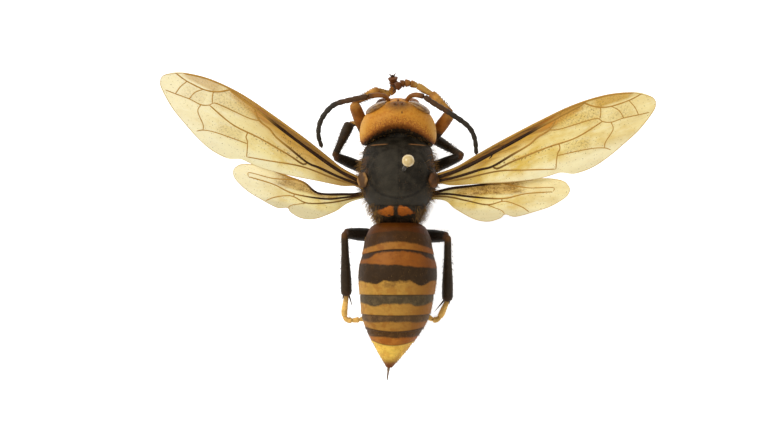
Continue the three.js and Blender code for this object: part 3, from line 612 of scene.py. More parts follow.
# Catmull-Rom curve through the points, then evenly spaced along its length.
def smoothPath(points, count):
    p = np.asarray(points, float)
    ends = np.vstack([2 * p[0] - p[1], p, 2 * p[-1] - p[-2]])
    t = np.linspace(0, len(p) - 1, 40 * (len(p) - 1) + 1)
    i = np.minimum(t.astype(int), len(p) - 2)
    f = (t - i)[:, None]
    a, b, c, d = ends[i], ends[i + 1], ends[i + 2], ends[i + 3]
    dense = 0.5 * (2 * b + (c - a) * f + (2 * a - 5 * b + 4 * c - d) * f**2 + (-a + 3 * b - 3 * c + d) * f**3)
    run = np.concatenate([[0], np.cumsum(np.linalg.norm(np.diff(dense, axis=0), axis=1))])
    want = np.linspace(0, run[-1], count) if np.isscalar(count) else np.asarray(count) * run[-1]
    return np.stack([np.interp(want, run, dense[:, k]) for k in range(dense.shape[1])], axis=1)


# Quads of a grid of rows by cols points, joined round when wrap is true.
def gridFaces(rows, cols, wrap):
    r = np.arange(rows - 1)[:, None]
    c = np.arange(cols if wrap else cols - 1)[None, :]
    n = (c + 1) % cols
    return np.stack([r * cols + c, r * cols + n, (r + 1) * cols + n, (r + 1) * cols + c], axis=-1).reshape(-1, 4)


# Points in mm and faces as one piece; quads with a repeated last corner become triangles.
def makeMesh(name, points, faces, material, uvs=None, uvName="along", smooth=True):
    mesh = bpy.data.meshes.new(name)
    points = np.asarray(points, float) * mm
    same = faces[:, 2] == faces[:, 3]
    sizes = np.where(same, 3, 4)
    keep = np.ones(faces.shape, bool)
    keep[same, 3] = False
    loops = faces[keep]
    mesh.vertices.add(len(points))
    mesh.vertices.foreach_set("co", points.ravel())
    mesh.loops.add(len(loops))
    mesh.loops.foreach_set("vertex_index", loops)
    mesh.polygons.add(len(faces))
    mesh.polygons.foreach_set("loop_start", np.concatenate([[0], np.cumsum(sizes)[:-1]]))
    mesh.polygons.foreach_set("loop_total", sizes)
    if uvs is not None:
        layer = mesh.uv_layers.new(name=uvName)
        layer.data.foreach_set("uv", np.asarray(uvs, float)[loops].ravel())
    mesh.update(calc_edges=True)
    mesh.validate()
    mesh.polygons.foreach_set("use_smooth", [smooth] * len(mesh.polygons))
    if isinstance(material, str):
        material = look[material]
    mesh.materials.append(material)
    made = bpy.data.objects.new(name, mesh)
    bpy.context.scene.collection.objects.link(made)
    return made


# Rings of points, rows by cols by 3, closed at both ends by a pole, as points and faces.
def closedGrid(rings):
    rows, cols, _ = rings.shape
    points = np.vstack([rings.reshape(-1, 3), rings[0].mean(0), rings[-1].mean(0)])
    body = gridFaces(rows, cols, True)
    c = np.arange(cols)
    n = (c + 1) % cols
    low = rows * cols
    first = np.stack([n, c, np.full(cols, low), np.full(cols, low)], axis=1)
    base = (rows - 1) * cols
    last = np.stack([base + c, base + n, np.full(cols, low + 1), np.full(cols, low + 1)], axis=1)
    u = np.repeat(np.linspace(0, 1, rows), cols)
    v = np.tile(np.arange(cols) / cols, rows)
    uvs = np.vstack([np.stack([u, v], axis=1), [[0, 0.5], [1, 0.5]]])
    return points, np.vstack([body, first, last]), uvs


# Carries an ellipse along a path: half widths lie level, half heights stand across them.
def tubeRings(path, widths, heights, cols, up=(0, 0, 1)):
    along = np.gradient(path, axis=0)
    along /= np.linalg.norm(along, axis=1)[:, None]
    side = np.cross(along, np.asarray(up, float))
    side /= np.linalg.norm(side, axis=1)[:, None]
    rise = np.cross(side, along)
    turn = np.linspace(0, 2 * np.pi, cols, endpoint=False)
    spread = (
        np.cos(turn)[None, :, None] * side[:, None, :] * np.asarray(widths)[:, None, None]
        + np.sin(turn)[None, :, None] * rise[:, None, :] * np.asarray(heights)[:, None, None]
    )
    return path[:, None, :] + spread


# Several point and face sets as one.
def joinParts(parts):
    points, faces, uvs, start = [], [], [], 0
    for p, f, uv in parts:
        points.append(p)
        faces.append(f + start)
        uvs.append(uv)
        start += len(p)
    return np.vstack(points), np.vstack(faces), np.vstack(uvs)


# A limb from control points and a profile of rows (share, half width, half height).
def limbPart(path, profile, count=26, cols=16, up=(0, 0, 1)):
    profile = np.asarray(profile, float)
    shares = np.unique(np.concatenate([np.linspace(0, 1, count), profile[:, 0]]))
    line = smoothPath(np.asarray(path, float) + [0, 0, bodyZ], shares)
    w = np.interp(shares, profile[:, 0], profile[:, 1])
    h = np.interp(shares, profile[:, 0], profile[:, -1])
    points, faces, uvs = closedGrid(tubeRings(line, w, h, cols, up))
    rows = len(shares)
    uvs[: rows * cols, 0] = np.repeat(shares, cols)
    return points, faces, uvs


# Rides on the body and stands for the CAD nodes.
def settle(piece, slot, *nodes):
    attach(piece, "root")
    if nodes:
        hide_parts(*nodes)
    return piece


def lipped(x, low, high):
    t = np.clip((x - low) / (high - low), 0, 1)
    return t * t * (3 - 2 * t)


headShape = {"halfWidth": 5.62, "y": -15.6, "z": -0.5, "up": 4.1, "down": 4.7}


# A ball drawn out sideways into a crescent: its middle line bends back with the square of the
# distance from the middle, and its depth behind that line grows with the square too, in front of it
# with the cube. The cheeks narrow downwards.
def headPoint(lon, lat):
    x, y, z = np.cos(lat) * np.cos(lon), -np.cos(lat) * np.sin(lon), np.sin(lat)
    soft = lambda v: np.sign(v) * np.abs(v) ** 0.88
    middle = headShape["y"] + 2.35 * x * x
    depth = np.where(y < 0, 2.7 + 1.63 * np.abs(x) ** 3, 2.3 + 2.4 * x * x)
    cheeks = np.where(z < 0, 1 - 0.2 * z * z, 1.0)
    px = headShape["halfWidth"] * x * cheeks
    py = middle + depth * soft(y)
    pz = bodyZ + headShape["z"] + np.where(z > 0, headShape["up"], headShape["down"]) * soft(z)
    front = np.clip(-y, 0, 1)
    # relief: the face between the feelers stands out, the eye sockets sink, a rim borders the occiput
    face = 0.22 * np.exp(-((px / 1.1) ** 2) - ((pz - bodyZ - 0.4) / 1.5) ** 2) * front
    sockets = -0.28 * np.exp(-(((np.abs(px) - 1.15) / 0.42) ** 2) - ((pz - bodyZ - 0.45) / 0.45) ** 2) * front
    groove = -0.07 * np.exp(-((px / 0.16) ** 2)) * front * lipped(pz, bodyZ + 0.8, bodyZ + 1.6)
    rim = 0.12 * np.exp(-(((y - 0.35) / 0.16) ** 2)) * lipped(pz, bodyZ - 2.5, bodyZ + 1.0)
    push = face + sockets + groove
    py = py - push
    pz = pz + rim * 0.8
    return np.stack([px, py, pz], axis=-1)


def makeHead():
    lat = np.linspace(-np.pi / 2 + 0.03, np.pi / 2 - 0.03, 88)[:, None]
    lon = np.linspace(0, 2 * np.pi, 132, endpoint=False)[None, :]
    rings = headPoint(np.broadcast_to(lon, (88, 132)), np.broadcast_to(lat, (88, 132)))
    points, faces, uvs = closedGrid(rings)
    faces = faces[:, [1, 0, 3, 2]].copy()
    tri = faces[:, 3] == faces[:, 2]
    # a turned pole triangle keeps its repeated corner last
    pole = np.arange(len(faces)) >= 87 * 132
    faces[pole] = np.stack([faces[pole, 1], faces[pole, 0], faces[pole, 2], faces[pole, 2]], axis=1)
    faces[pole] = faces[pole][:, [1, 0, 2, 3]]
    return makeMesh("head_skin", points, faces, "head", uvs)


# An ellipsoid from latitude and longitude, turned about its middle; bend curls its long axis.
def ball(center, radii, turn=(0, 0, 0), rows=28, cols=36, bend=0.0, relief=None):
    lat = np.linspace(-np.pi / 2 + 0.02, np.pi / 2 - 0.02, rows)[:, None]
    lon = np.linspace(0, 2 * np.pi, cols, endpoint=False)[None, :]
    x, y = np.cos(lat) * np.cos(lon), np.cos(lat) * np.sin(lon)
    z = np.broadcast_to(np.sin(lat), x.shape)
    x = x + bend * (z * z - 0.3)
    grow = 1.0 if relief is None else relief(x, y, z)
    local = np.stack([x * radii[0], y * radii[1], z * radii[2]], axis=-1) * (grow if np.isscalar(grow) else grow[..., None])
    m = np.array(Euler([math.radians(a) for a in turn], "ZYX").to_matrix())
    return closedGrid(local @ m.T + np.asarray(center, float) + [0, 0, bodyZ])


# Turns the faces out where a closed shape was wound the other way.
def outward(piece):
    import bmesh

    work = bmesh.new()
    work.from_mesh(piece.data)
    if work.calc_volume(signed=True) < 0:
        bmesh.ops.reverse_faces(work, faces=work.faces)
        work.to_mesh(piece.data)
    work.free()
    piece.data.update()
    return piece


headSkin = settle(outward(makeHead()), "head_cuticle", "head")
clypeusSkin = makeMesh(
    "clypeus_skin",
    *ball(
        (0, -17.75, -3.15),
        (2.15, 0.95, 1.9),
        (-8, 0, 0),
        34,
        44,
        relief=lambda x, y, z: 1 - 0.12 * np.exp(-((x / 0.22) ** 2)) * lipped(-z, 0.75, 1.0),
    )[:2],
    "head",
)
settle(outward(clypeusSkin), "head_cuticle", "clypeus")

eyeShape = {"at": (3.0, -17.0, 0.15), "radii": (1.85, 0.75, 2.45), "lean": 4, "yaw": 26}
ocelliAt = ((0.0, -18.06, 2.52), (0.55, -17.55, 3.08), (-0.55, -17.55, 3.08))
for name, side in (("left", 1), ("right", -1)):
    x, y, z = eyeShape["at"]
    turn = (0, side * eyeShape["lean"], side * eyeShape["yaw"])
    eye = makeMesh(f"eye_{name}_dome", *ball((side * x, y, z), eyeShape["radii"], turn, 40, 44)[:2], "eye")
    settle(outward(eye), "eye", f"eye_{name}")

ocelli = makeMesh("ocelli", *joinParts([ball(at, (0.2, 0.2, 0.2), (0, 0, 0), 10, 14) for at in ocelliAt])[:2], "ocellus")
settle(outward(ocelli), "eye")


# A jaw blade that curves in under the face, with a blunt notched tip.
def mandible(side):
    path = [
        (side * 2.75, -16.9, -4.0),
        (side * 2.62, -17.7, -5.25),
        (side * 1.75, -18.2, -6.2),
        (side * 0.42, -18.3, -6.55),
    ]
    profile = [(0, 0.6, 0.72), (0.12, 0.66, 0.82), (0.4, 0.68, 0.9), (0.7, 0.5, 0.72), (0.9, 0.34, 0.5), (0.97, 0.24, 0.34), (1, 0.1, 0.14)]
    blade = limbPart(path, profile, 30, 18, (0, 1, 0))
    teeth = [
        limbPart(
            [(side * (1.5 - k * 0.42), -18.2, -5.95 - k * 0.08), (side * (1.3 - k * 0.42), -18.25, -5.35 - k * 0.1)],
            [(0, 0.24, 0.2), (0.6, 0.17, 0.14), (1, 0.03, 0.03)],
            6,
            8,
            (0, 1, 0),
        )
        for k in range(3)
    ]
    return joinParts([blade] + teeth)


for name, side in (("left", 1), ("right", -1)):
    jaw = makeMesh(f"mandible_{name}_jaw", *mandible(side)[:2], "mandible")
    settle(jaw, "mouth_cuticle", f"mandible_{name}")
print("head made")


antennae = {
    "left": {
        "scape": [(1.1, -17.7, 0.4), (1.75, -18.6, 1.5), (2.9, -18.8, 2.2), (4.4, -18.6, 2.5)],
        "flagellum": [(4.4, -18.6, 2.5), (6.9, -18.1, 2.6), (9.4, -17.3, 2.5), (11.1, -15.3, 2.2), (11.55, -13.2, 1.8), (11.05, -11.2, 1.3)],
    },
    "right": {
        "scape": [(-1.1, -17.7, 0.4), (-1.6, -18.55, 1.5), (-2.5, -18.85, 2.1), (-3.8, -18.6, 2.4)],
        "flagellum": [(-3.8, -18.6, 2.4), (-5.2, -17.6, 2.5), (-7.65, -16.1, 2.4), (-10.1, -14.35, 2.0), (-11.1, -12.6, 1.6), (-11.4, -10.2, 1.0)],
    },
}


# Each joint swells a little to its far end and is pinched at the ring before the next.
def flagellumProfile(joints=11):
    rows = [(0, 0.2, 0.2)]
    for i in range(joints):
        start, end = i / joints, (i + 1) / joints
        radius = 0.41 - 0.09 * end**3
        rows += [(start + 0.012, radius - 0.03, radius - 0.03), (end - 0.03, radius + 0.012, radius + 0.012)]
        rows += [(end - 0.008, radius - 0.02, radius - 0.02)]
        if i < joints - 1:
            rows += [(end, radius - 0.075, radius - 0.075)]
    rows[-1] = (0.985, 0.2, 0.2)
    return rows + [(1, 0.07, 0.07)]


for name, paths in antennae.items():
    scape = limbPart(
        paths["scape"],
        [(0, 0.2), (0.08, 0.3), (0.13, 0.22), (0.17, 0.27), (0.5, 0.34), (0.9, 0.4), (0.97, 0.36), (1, 0.16)],
        34,
        18,
    )
    settle(makeMesh(f"antenna_{name}_scape_horn", *scape[:2], "scape", scape[2]), "mouth_cuticle", f"antenna_{name}_scape")
    whip = limbPart(paths["flagellum"], flagellumProfile(), 60, 16)
    settle(
        makeMesh(f"antenna_{name}_flagellum_horn", *whip[:2], "flagellum", whip[2]),
        "antenna",
        f"antenna_{name}_flagellum",
    )
print("antennae made")


thoraxRows = {
    "y": (-13.15, -13.0, -12.7, -12.2, -11.75, -11.2, -10.2, -8.6, -7.0, -5.3, -3.8, -2.6, -1.5, -0.6, -0.2),
    "width": (1.4, 2.0, 2.9, 3.75, 4.3, 4.85, 5.1, 5.4, 5.55, 5.45, 4.85, 4.05, 3.45, 3.05, 2.5),
    "up": (0.0, 0.4, 1.0, 2.0, 2.8, 3.7, 4.5, 5.1, 5.2, 5.0, 4.5, 3.7, 2.3, 0.8, 0.2),
    "down": (1.4, 1.8, 2.4, 3.1, 3.6, 4.3, 4.8, 5.1, 5.3, 5.3, 5.0, 4.5, 3.8, 2.7, 2.0),
}


# Smooth curve through given values, by their Catmull-Rom slopes.
def smoothValues(xs, values, at):
    xs, values = np.asarray(xs, float), np.asarray(values, float)
    slopes = np.gradient(values, xs)
    i = np.clip(np.searchsorted(xs, at) - 1, 0, len(xs) - 2)
    span = xs[i + 1] - xs[i]
    t = (at - xs[i]) / span
    return (
        (2 * t**3 - 3 * t**2 + 1) * values[i]
        + (t**3 - 2 * t**2 + t) * span * slopes[i]
        + (3 * t**2 - 2 * t**3) * values[i + 1]
        + (t**3 - t**2) * span * slopes[i + 1]
    )


# Heights in mm added outwards: grooves between the plates, and their own swellings.
def thoraxRelief(x, y, z):
    top = lipped(z, 1.6, 3.0)
    ring = np.sqrt((x / 4.4) ** 2 + ((y + 7.5) / 3.6) ** 2) + 0.018 * np.sin(x * 2.3 + y * 1.4)
    relief = -0.12 * np.exp(-(((ring - 1.0) / 0.045) ** 2)) * top * (0.25 + 0.75 * lipped(y, -10.4, -9.0))
    relief += 0.10 * np.clip(1 - ring, 0, 1) * top
    relief += -0.05 * np.exp(-((x / 0.12) ** 2)) * lipped(-y, 6.6, 7.6) * top * (ring < 1)
    for side in (-1, 1):  # the two furrows of the scutum, and the lateral ones
        relief += -0.09 * np.exp(-(((x - side * (1.7 + (y + 4.2) * -0.12)) / 0.11) ** 2)) * lipped(y, -7.6, -6.4) * top * (ring < 0.97)
        relief += -0.07 * np.exp(-(((x - side * 3.35) / 0.12) ** 2)) * lipped(y, -9.6, -8.4) * top * (ring < 0.95)
    scutellum = np.sqrt((x / 3.2) ** 2 + ((y + 3.55) / 0.92) ** 2)
    relief += 0.16 * np.clip(1 - scutellum**2, 0, 1) * top
    relief += -0.10 * np.exp(-((x / 0.12) ** 2)) * (scutellum < 1) * top
    relief += -0.16 * np.exp(-(((y + 2.72) / 0.10) ** 2)) * lipped(z, 0.6, 2.0)
    for middle in (1.95, -1.35):
        patch = np.sqrt(((x - middle) / 1.45) ** 2 + ((y + 2.1) / 0.8) ** 2)
        relief += 0.2 * np.clip(1 - patch**2, 0, 1) * lipped(z, 0.4, 1.6)
    relief += -0.14 * np.exp(-(((x - 0.35) / 0.3) ** 2)) * lipped(y, -2.4, -1.4)
    # side seams of the pleura, and the collar's hind edge
    relief += -0.13 * np.exp(-(((z - 1.2 + (y + 8) * 0.22) / 0.13) ** 2)) * lipped(-np.abs(y + 7), -4.2, -2.6) * lipped(np.abs(x), 4.0, 4.8)
    relief += -0.12 * np.exp(-(((y + 9.2 - z * 0.25) / 0.13) ** 2)) * lipped(-z, -3.4, -2.4) * lipped(np.abs(x), 3.6, 4.6)
    relief += -0.12 * np.exp(-(((y + 4.6 + z * 0.2) / 0.13) ** 2)) * lipped(-z, -2.8, -1.6) * lipped(np.abs(x), 3.2, 4.2)
    relief += 0.08 * np.exp(-(((y + 11.75) / 0.14) ** 2)) * lipped(z, 0.0, 1.6)
    return relief


def makeThorax():
    rows, cols = 150, 168
    y = np.linspace(thoraxRows["y"][0], thoraxRows["y"][-1], rows)
    w, up, down = (smoothValues(thoraxRows["y"], thoraxRows[key], y) for key in ("width", "up", "down"))
    turn = np.linspace(0, 2 * np.pi, cols, endpoint=False)
    soft = lambda v: np.sign(v) * np.abs(v) ** 0.86
    cx, cz = soft(np.cos(turn)), soft(np.sin(turn))
    rise = np.where(cz[None, :] > 0, up[:, None], down[:, None])
    x = w[:, None] * cx[None, :]
    z = rise * cz[None, :]
    yy = np.broadcast_to(y[:, None], x.shape)
    relief = thoraxRelief(x, yy, z)
    away = np.stack([x / np.maximum(w[:, None], 1) ** 2, x * 0, z / np.maximum(np.abs(rise), 1) ** 2], axis=-1)
    away /= np.maximum(np.linalg.norm(away, axis=-1)[..., None], 1e-6)
    points = np.stack([x, yy, z + bodyZ], axis=-1) + away * relief[..., None]
    return makeMesh("thorax_skin", *closedGrid(points)[:2], "thorax")


thoraxNodes = ("pronotum", "mesoscutum", "scutellum", "propodeum", "mesopleura")
settle(outward(makeThorax()), "thorax_cuticle", *thoraxNodes)

neckRows = [(0, 1.9, 1.1), (0.3, 2.2, 1.3), (0.5, 2.5, 1.5), (0.62, 2.75, 1.6), (0.7, 2.6, 1.5), (1, 2.4, 1.4)]
neck = limbPart([(0, -15.4, -0.9), (0, -13.6, -0.8), (0, -11.4, -0.9)], neckRows, 26, 48)
settle(outward(makeMesh("neck_skin", *neck[:2], "thorax")), "thorax_cuticle", "neck")

for name, side in (("left", 1), ("right", -1)):
    shell = ball(
        (side * 5.15, -6.5, 3.35),
        (0.85, 1.15, 0.5),
        (0, side * 32, 0),
        26,
        34,
        relief=lambda x, y, z: 1 + 0.05 * np.cos(6 * np.arctan2(y, x)) * (1 - z * z) ** 2,
    )
    # painted light: the left tegula, on the lamp's side, takes the paler copy, the right one the darker shaded copy
    horn = "tegulaTan" if side > 0 else "tegulaRust"
    settle(outward(makeMesh(f"tegula_{name}_shell", *shell[:2], horn)), "tegula", f"tegula_{name}")
print("thorax made")


gasterShape = {"height": 0.86, "z": -0.5, "droop": 1.5, "bend": 1.25, "tipY": 20.9, "lip": 0.045}
gasterEnds = (-0.35, 3.5, 10.1, 13.1, 15.5, 17.6, 20.9)
gasterBow = ((-0.35, 0.05), (0.5, 0.2), (3.65, 0.75), (10.2, 0.0), (15.5, -0.25), (17.6, -0.4), (20.9, 0.0))
gasterWidths = (
    (-0.35, 2.9),
    (0.0, 3.75),
    (0.8, 4.4),
    (3.4, 5.2),
    (5, 5.62),
    (7, 5.75),
    (10.5, 5.4),
    (14, 4.8),
    (16.3, 3.75),
    (17.6, 3.0),
    (19.0, 2.0),
    (20.2, 1.0),
    (20.9, 0.4),
)


# Ellipse of the abdomen at y: the centre line bends aside with the cube of y and droops with its
# square, and a groove on each flank parts the back plates from the belly plates.
def gasterRing(y, swell, cols=132):
    xs, values = zip(*gasterWidths)
    w = smoothValues(xs, values, y) + swell
    bow = smoothValues(*zip(*gasterBow), y)
    along = y / gasterShape["tipY"]
    turn = np.linspace(0, 2 * np.pi, cols, endpoint=False)
    soft = lambda v: np.sign(v) * np.abs(v) ** 0.95
    cx, cz = soft(np.cos(turn)), soft(np.sin(turn))
    groove = 1 - 0.022 * np.exp(-(((np.sin(turn) + 0.42) / 0.05) ** 2))
    h = np.where(cz > 0, 1.0, 0.94) * gasterShape["height"]
    x = (gasterShape["bend"] * np.abs(along) ** 3)[:, None] + w[:, None] * (cx * groove)[None, :]
    z = (gasterShape["z"] - gasterShape["droop"] * along**2)[:, None] + w[:, None] * (h * cz * groove)[None, :] + bodyZ
    return np.stack([x, y[:, None] + bow[:, None] * (np.cos(turn) ** 2)[None, :], z], axis=-1)


def makeGaster():
    ys, swells = [], []
    for i, (start, end) in enumerate(zip(gasterEnds[:-1], gasterEnds[1:])):
        share = np.array([0, 0.02, 0.06, 0.12, 0.2, 0.3, 0.42, 0.54, 0.66, 0.78, 0.88, 0.95, 0.985, 1.0])
        if i == 0:
            share = np.concatenate([[0, 0.008, 0.03], share[2:]])
        rise = -0.07 + 0.07 * lipped(share, 0, 0.22) + gasterShape["lip"] * lipped(share, 0.8, 0.97)
        rise[-1] -= 0.05
        if i == 5:
            rise = -0.07 * (1 - lipped(share, 0, 0.3))
        if i == 0:
            rise = gasterShape["lip"] * lipped(share, 0.8, 0.97)
        ys.append(start + (end - start) * share + (0.0 if i == 0 else 0.004))
        swells.append(rise)
    y, swell = np.concatenate(ys), np.concatenate(swells)
    return makeMesh("gaster_skin", *closedGrid(gasterRing(y, swell))[:2], "gaster")


settle(outward(makeGaster()), "gaster_cuticle", *[f"gaster_{i}" for i in range(1, 7)])
stalk = limbPart([(0, -0.95, -1.3), (0, -0.2, -1.3), (0, 0.8, -1.3)], [(0, 0.85), (0.35, 0.68), (0.7, 1.0), (1, 1.1)], 20, 28)
settle(outward(makeMesh("gaster_stalk", *stalk[:2], "thorax")), "gaster_cuticle")

stingRoot = (gasterShape["bend"], gasterShape["tipY"] - 0.8, gasterShape["z"] - gasterShape["droop"])
stingTip = (gasterShape["bend"] + 0.35, gasterShape["tipY"] + 2.0, gasterShape["z"] - gasterShape["droop"] - 0.25)
sheath = limbPart([stingRoot, stingTip], [(0, 0.24), (0.42, 0.2), (0.5, 0.15), (0.9, 0.09), (1, 0.02)], 16, 12)
settle(outward(makeMesh("sting_needle", *sheath[:2], "sting")), "sting", "sting")
print("gaster made")


legs = {
    "fore_left": {
        "coxa": [(1.5, -9.6, -3.6), (2.5, -10.6, -5.2), (3.7, -10.9, -4.9)],
        "knee": (6.5, -17.9, -1.9),
        "ankle": (2.9, -19.9, -4.6),
        "tarsus": [(1.3, -19.5, -5.5), (0.6, -20.4, -5.2), (0.75, -21.9, -4.6)],
        "femurRadius": 0.94,
        "tibiaRadius": 0.66,
        "footRadius": 0.52,
        "footGrowth": 0.12,
        "spur": 0.9,
    },
    "fore_right": {
        "coxa": [(-1.5, -9.6, -3.6), (-2.5, -10.6, -5.2), (-3.7, -10.9, -4.9)],
        "knee": (-7.8, -16.5, -1.7),
        "ankle": (-4.95, -19.3, -3.4),
        "tarsus": [(-2.9, -20.5, -3.5), (-1.1, -20.9, -3.3), (0.35, -20.3, -3.2)],
        "femurRadius": 0.94,
        "tibiaRadius": 0.66,
        "footRadius": 0.52,
        "footGrowth": 0.07,
        "spur": 0.9,
    },
    "mid_left": {
        "coxa": [(1.9, -5.8, -4.2), (3.0, -6.8, -5.9), (3.9, -7.9, -5.6)],
        "knee": (9.3, -10.1, -2.6),
        "ankle": (7.1, -15.0, -4.6),
        "tarsus": [(5.3, -15.0, -5.9), (3.2, -14.3, -6.9), (0.95, -13.3, -7.4)],
        "femurRadius": 0.86,
        "tibiaRadius": 0.78,
        "footRadius": 0.46,
        "footGrowth": -0.05,
        "spur": 1.5,
    },
    "mid_right": {
        "coxa": [(-1.9, -5.8, -4.2), (-3.0, -6.8, -5.9), (-3.9, -7.9, -5.6)],
        "knee": (-9.45, -10.2, -2.6),
        "ankle": (-5.3, -12.9, -6.2),
        "tarsus": [(-4.4, -14.4, -6.7), (-2.9, -14.4, -6.9), (-0.95, -13.5, -7.4)],
        "femurRadius": 0.86,
        "tibiaRadius": 0.78,
        "footRadius": 0.46,
        "footGrowth": -0.05,
        "spur": 1.5,
    },
    "hind_left": {
        "coxa": [(1.8, -2.9, -3.8), (2.5, -1.0, -5.6), (2.9, 1.6, -6.1)],
        "knee": (7.85, 1.2, -2.9),
        "ankle": (7.6, 10.4, -4.9),
        "tarsus": [(7.9, 13.4, -5.9), (6.9, 14.2, -6.2), (3.7, 13.7, -6.6)],
        "femurRadius": 1.0,
        "tibiaRadius": 0.82,
        "footRadius": 0.48,
        "footGrowth": -0.05,
        "spur": 2.0,
    },
    "hind_right": {
        "coxa": [(-1.8, -2.9, -3.8), (-2.5, -1.0, -5.6), (-2.9, 1.6, -6.1)],
        "knee": (-7.35, 1.7, -2.9),
        "ankle": (-7.35, 11.2, -4.9),
        "tarsus": [(-6.2, 13.7, -5.9), (-5.1, 14.0, -6.2), (-3.0, 12.6, -6.6)],
        "femurRadius": 1.0,
        "tibiaRadius": 0.82,
        "footRadius": 0.48,
        "footGrowth": -0.05,
        "spur": 2.0,
    },
}


def towards(start, goal, length):
    a, b = np.asarray(start, float), np.asarray(goal, float)
    return a + (b - a) / np.linalg.norm(b - a) * length


# Five joints, each widening to its far end, and two hooked claws with a pad between them.
def tarsusPart(leg):
    joints = (0, 0.42, 0.6, 0.74, 0.84, 1.0)
    rows = [(0, leg["footRadius"] * 0.5)]
    for i, (start, end) in enumerate(zip(joints[:-1], joints[1:])):
        radius = leg["footRadius"] * (1 + leg["footGrowth"] * i)
        rows += [(start + 0.012, radius * 0.74), (start + (end - start) * 0.78, radius), (end - 0.01, radius * 0.9)]
        if i < 4:
            rows += [(end, radius * 0.5)]
    rows[-1] = (0.985, radius * 0.75)
    rows += [(1, radius * 0.35)]
    foot = limbPart([leg["ankle"]] + leg["tarsus"], rows, 60, 12)
    before, end = np.asarray(leg["tarsus"][-2], float), np.asarray(leg["tarsus"][-1], float)
    reach = (end - before) / np.linalg.norm(end - before)
    out = np.cross(reach, (0, 0, 1))
    out /= np.linalg.norm(out)
    down = np.array([0, 0, -1.0])
    claws = [
        limbPart(
            [end - reach * 0.2 + out * lean * 0.05, end + reach * 0.32 + out * lean * 0.3, end + reach * 0.55 + out * lean * 0.6 + down * 0.4],
            [(0, 0.13), (0.5, 0.11), (1, 0.02)],
            12,
            8,
        )
        for lean in (-1, 1)
    ]
    pad = limbPart([end - reach * 0.1, end + reach * 0.35 + down * 0.05], [(0, 0.1), (0.6, 0.17), (1, 0.08)], 6, 8)
    return foot, joinParts(claws + [pad])


def shinPart(leg):
    r = leg["tibiaRadius"]
    start = towards(leg["knee"], leg["ankle"], -0.1)
    rows = [(0, r * 0.4), (0.03, r * 0.6), (0.1, r * 0.65), (0.35, r * 0.7), (0.75, r), (0.94, r), (0.985, r * 0.85), (1, r * 0.6)]
    return limbPart([start, leg["ankle"]], rows, 34, 18, (0, 0.3, 1))


def spurPart(leg):
    root = towards(leg["ankle"], leg["knee"], 0.3)
    inwards = -np.sign(leg["ankle"][0])
    spurs = []
    for share, lean, thick in ((1.0, 1.1, 0.16), (0.35, -0.55, 0.22)):
        tip = towards(leg["ankle"], leg["tarsus"][0], leg["spur"] * share) + np.array([inwards * lean, 0, -0.4])
        start = root + np.array([inwards * np.sign(lean) * 0.3, 0, 0])
        spurs.append(limbPart([start, tip], [(0, thick), (0.4, thick * 0.7), (1, 0.02)], 10, 8))
    # short spines in two rows down the outer edge of the shin
    knee, ankle = np.asarray(leg["knee"], float), np.asarray(leg["ankle"], float)
    line = (ankle - knee) / np.linalg.norm(ankle - knee)
    across = np.cross(line, (0, 0, 1))
    across /= np.linalg.norm(across)
    spines = []
    for k in range(14):
        share, lean = 0.3 + 0.05 * k, 1 if k % 2 else -1
        foot = knee + (ankle - knee) * share + across * lean * leg["tibiaRadius"] * 0.8
        spines.append(limbPart([foot, foot + across * lean * 0.28 + line * 0.42], [(0, 0.045), (0.6, 0.03), (1, 0.006)], 4, 5))
    return joinParts(spurs + spines)


for name, leg in legs.items():
    fore, hind = name.startswith("fore"), name.startswith("hind")
    r = leg["femurRadius"]
    coxa = limbPart(leg["coxa"], [(0, 0.9), (0.2, 1.06), (0.4, 1.0), (0.6, 0.76), (0.66, 0.5), (0.72, 0.56), (0.88, 0.58), (0.96, 0.5), (1, 0.3)], 34, 20)
    settle(outward(makeMesh(f"leg_{name}_coxa_horn", *coxa[:2], "femur", coxa[2])), "leg_cuticle", f"leg_{name}_coxa")
    thighRows = [(0, 0.3), (0.05, 0.48), (0.18, r * 0.84), (0.35, r), (0.6, r * 0.96), (0.88, r * 0.78), (0.96, r * 0.68), (1, r * 0.4)]
    if fore:
        thighRows = [(0, 0.3), (0.05, 0.48), (0.2, r * 0.7), (0.45, r * 0.92), (0.7, r), (0.9, r * 0.92), (0.97, r * 0.72), (1, r * 0.45)]
    thigh = limbPart([leg["coxa"][2], leg["knee"]], thighRows, 34, 20, (0, 0.3, 1))
    settle(
        outward(makeMesh(f"leg_{name}_femur_horn", *thigh[:2], "foreFemur" if fore else "femur", thigh[2])),
        "leg_cuticle",
        f"leg_{name}_femur",
    )
    shin = shinPart(leg)
    settle(
        outward(makeMesh(f"leg_{name}_tibia_horn", *shin[:2], "foreTibia" if fore else "tibia", shin[2])),
        "foot_cuticle" if fore else "leg_cuticle",
        f"leg_{name}_tibia",
    )
    foot, claws = tarsusPart(leg)
    settle(
        outward(makeMesh(f"leg_{name}_tarsus_horn", *foot[:2], "foreTarsus" if fore else "tarsus", foot[2])),
        "foot_cuticle",
        f"leg_{name}_tarsus",
    )
    settle(outward(makeMesh(f"leg_{name}_claws", *claws[:2], "claw")), "foot_cuticle")
    settle(outward(makeMesh(f"leg_{name}_spurs", *spurPart(leg)[:2], "claw")), "leg_cuticle")
print("legs made")


wingForm = {"camber": 0.012, "rootZ": 2.5, "thickness": 0.05, "crease": 0.07}
